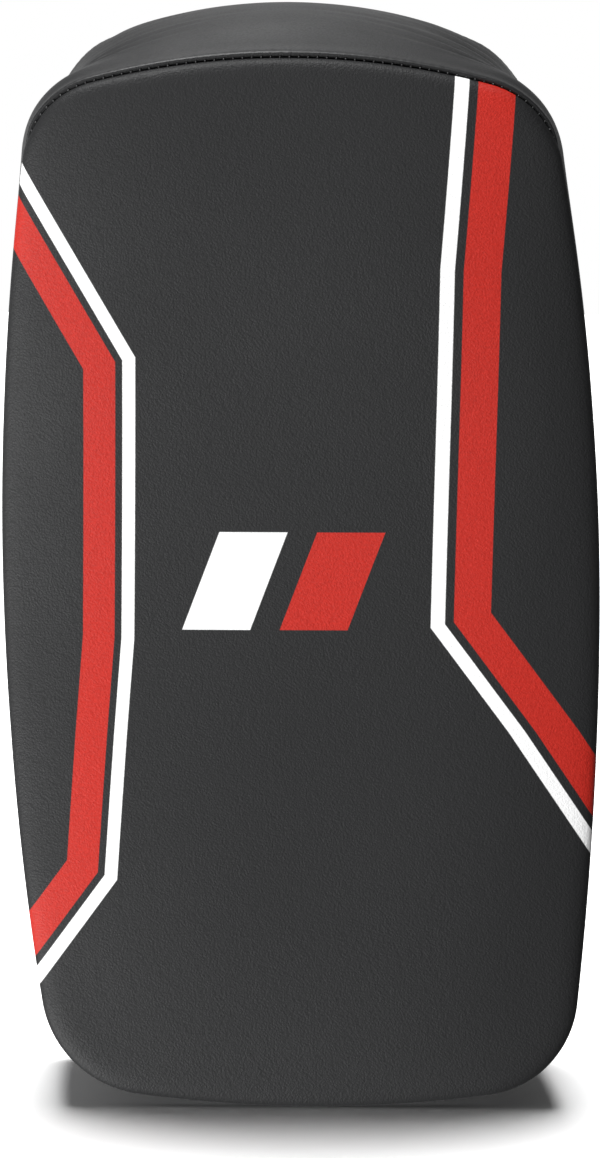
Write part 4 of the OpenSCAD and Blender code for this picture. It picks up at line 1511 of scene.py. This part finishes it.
def add_lamp(name, stands_at, aim, size, power):
    """A square soft light that points at aim, and leaves the floor alone."""
    data = bpy.data.lights.new(name, "AREA")
    data.shape, data.size, data.energy = "SQUARE", size, power
    lamp = bpy.data.objects.new(name, data)
    bpy.context.scene.collection.objects.link(lamp)
    lamp.location = stands_at
    lamp.rotation_euler = (Vector(aim) - Vector(stands_at)).to_track_quat("-Z", "Y").to_euler()
    light_only(lamp, name, "EXCLUDE")


def add_floor_light(power, from_way, spread):
    """Broad light from high up that is even all over the floor, with the pad's soft shadow."""
    data = bpy.data.lights.new("floor_light", "SUN")
    data.energy, data.angle = power, math.radians(spread)
    lamp = bpy.data.objects.new("floor_light", data)
    bpy.context.scene.collection.objects.link(lamp)
    lamp.rotation_euler = (-Vector(from_way)).to_track_quat("-Z", "Y").to_euler()
    light_only(lamp, "floor_light", "INCLUDE")


def add_world():
    """White all round to the eye. As light it is bright low down behind, and dim in front."""
    world = bpy.data.worlds.new("studio")
    bpy.context.scene.world = world
    world.use_nodes = True
    tree = world.node_tree
    link = tree.links.new
    shade = tree.nodes["Background"]
    way = tree.nodes.new("ShaderNodeTexCoord")
    split = tree.nodes.new("ShaderNodeSeparateXYZ")
    link(way.outputs["Generated"], split.inputs[0])

    def ramp(axis, stops):
        half = tree.nodes.new("ShaderNodeMath")
        half.operation = "MULTIPLY_ADD"
        half.inputs[1].default_value, half.inputs[2].default_value = 0.5, 0.5
        link(split.outputs[axis], half.inputs[0])
        made = tree.nodes.new("ShaderNodeValToRGB")
        for i, (at, value) in enumerate(stops):
            at = at / 2 + 0.5
            stop = made.color_ramp.elements[i] if i < 2 else made.color_ramp.elements.new(at)
            stop.position, stop.color = at, (value, value, value, 1)
        link(half.outputs[0], made.inputs[0])
        return made.outputs[0]

    def mix(share, a, b):
        made = tree.nodes.new("ShaderNodeMix")
        made.data_type = "RGBA"
        sockets = {s.identifier: s for s in made.inputs}
        for key, value in (("Factor_Float", share), ("A_Color", a), ("B_Color", b)):
            if isinstance(value, bpy.types.NodeSocket):
                link(value, sockets[key])
            else:
                sockets[key].default_value = value
        return next(s for s in made.outputs if s.identifier == "Result_Color")

    front = ramp("Z", SKY_IN_FRONT)
    behind = ramp("Z", SKY_BEHIND)
    light = mix(ramp("Y", [(-0.25, 0.0), (0.35, 1.0)]), front, behind)
    light = mix(ramp("X", SKY_ACROSS), (0, 0, 0, 1), light)
    eye = tree.nodes.new("ShaderNodeLightPath")
    link(mix(eye.outputs["Is Camera Ray"], light, (1, 1, 1, 1)), shade.inputs["Color"])


# How bright the studio is, by how high up: the sine of the height, and the brightness
SKY_IN_FRONT = [(-1.0, 0.5), (-0.25, 0.55), (0.05, 0.12), (0.3, 0.01), (0.6, 0.03), (1.0, 0.25)]
SKY_BEHIND = [(-1.0, 0.1), (0.0, 1.0), (0.15, 1.05), (0.5, 0.45), (1.0, 0.25)]
SKY_ACROSS = [(-0.7, 1.0), (0.15, 0.8), (0.8, 0.3)]

bpy.context.scene.view_settings.view_transform = "Standard"
add_camera()
add_floor()
add_world()
add_lamp("key", (-1.0, -0.95, -0.7), (0, 0, 0.15), 0.9, 35)
add_lamp("top_light", (-0.25, -0.62, 1.45), (0, 0, 0.36), 0.5, 24)
add_lamp("back_fill", (-0.1, 1.15, 2.1), (0, 0, 0.2), 0.8, 5)
add_floor_light(7.4, (-0.02, 0.2, 1.0), 32)

# The record's slot for each finish. Only a piece whose first material has the very name given here
# gets its slot. Blender adds a number to a finish that shares its name with one of the frame's, and
# a grown piece's first material can be empty, so such pieces are passed over.
SLOTS = {"face_leather": "face_leather", "body_leather": "body_leather", "black_thread": "body_leather",
         "strap_leather": "strap_leather", "strap_lining": "strap_lining", "loop_pile": "loop_tape",
         "hook_ground": "hook_tape", "nickel_steel": "metal", "rolled_cord": "grip_core",
         "grip_foam": "soft_foam", "cushion_foam": "soft_foam", "strike_foam_block": "soft_foam",
         "core_foam_block": "core_foam", "back_foam_block": "firm_foam"}
for made in bpy.data.objects:
    if made.type == "MESH" and "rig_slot" not in made and made.data.materials:
        first = made.data.materials[0]
        if first and first.name in SLOTS:
            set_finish(made, SLOTS[first.name])
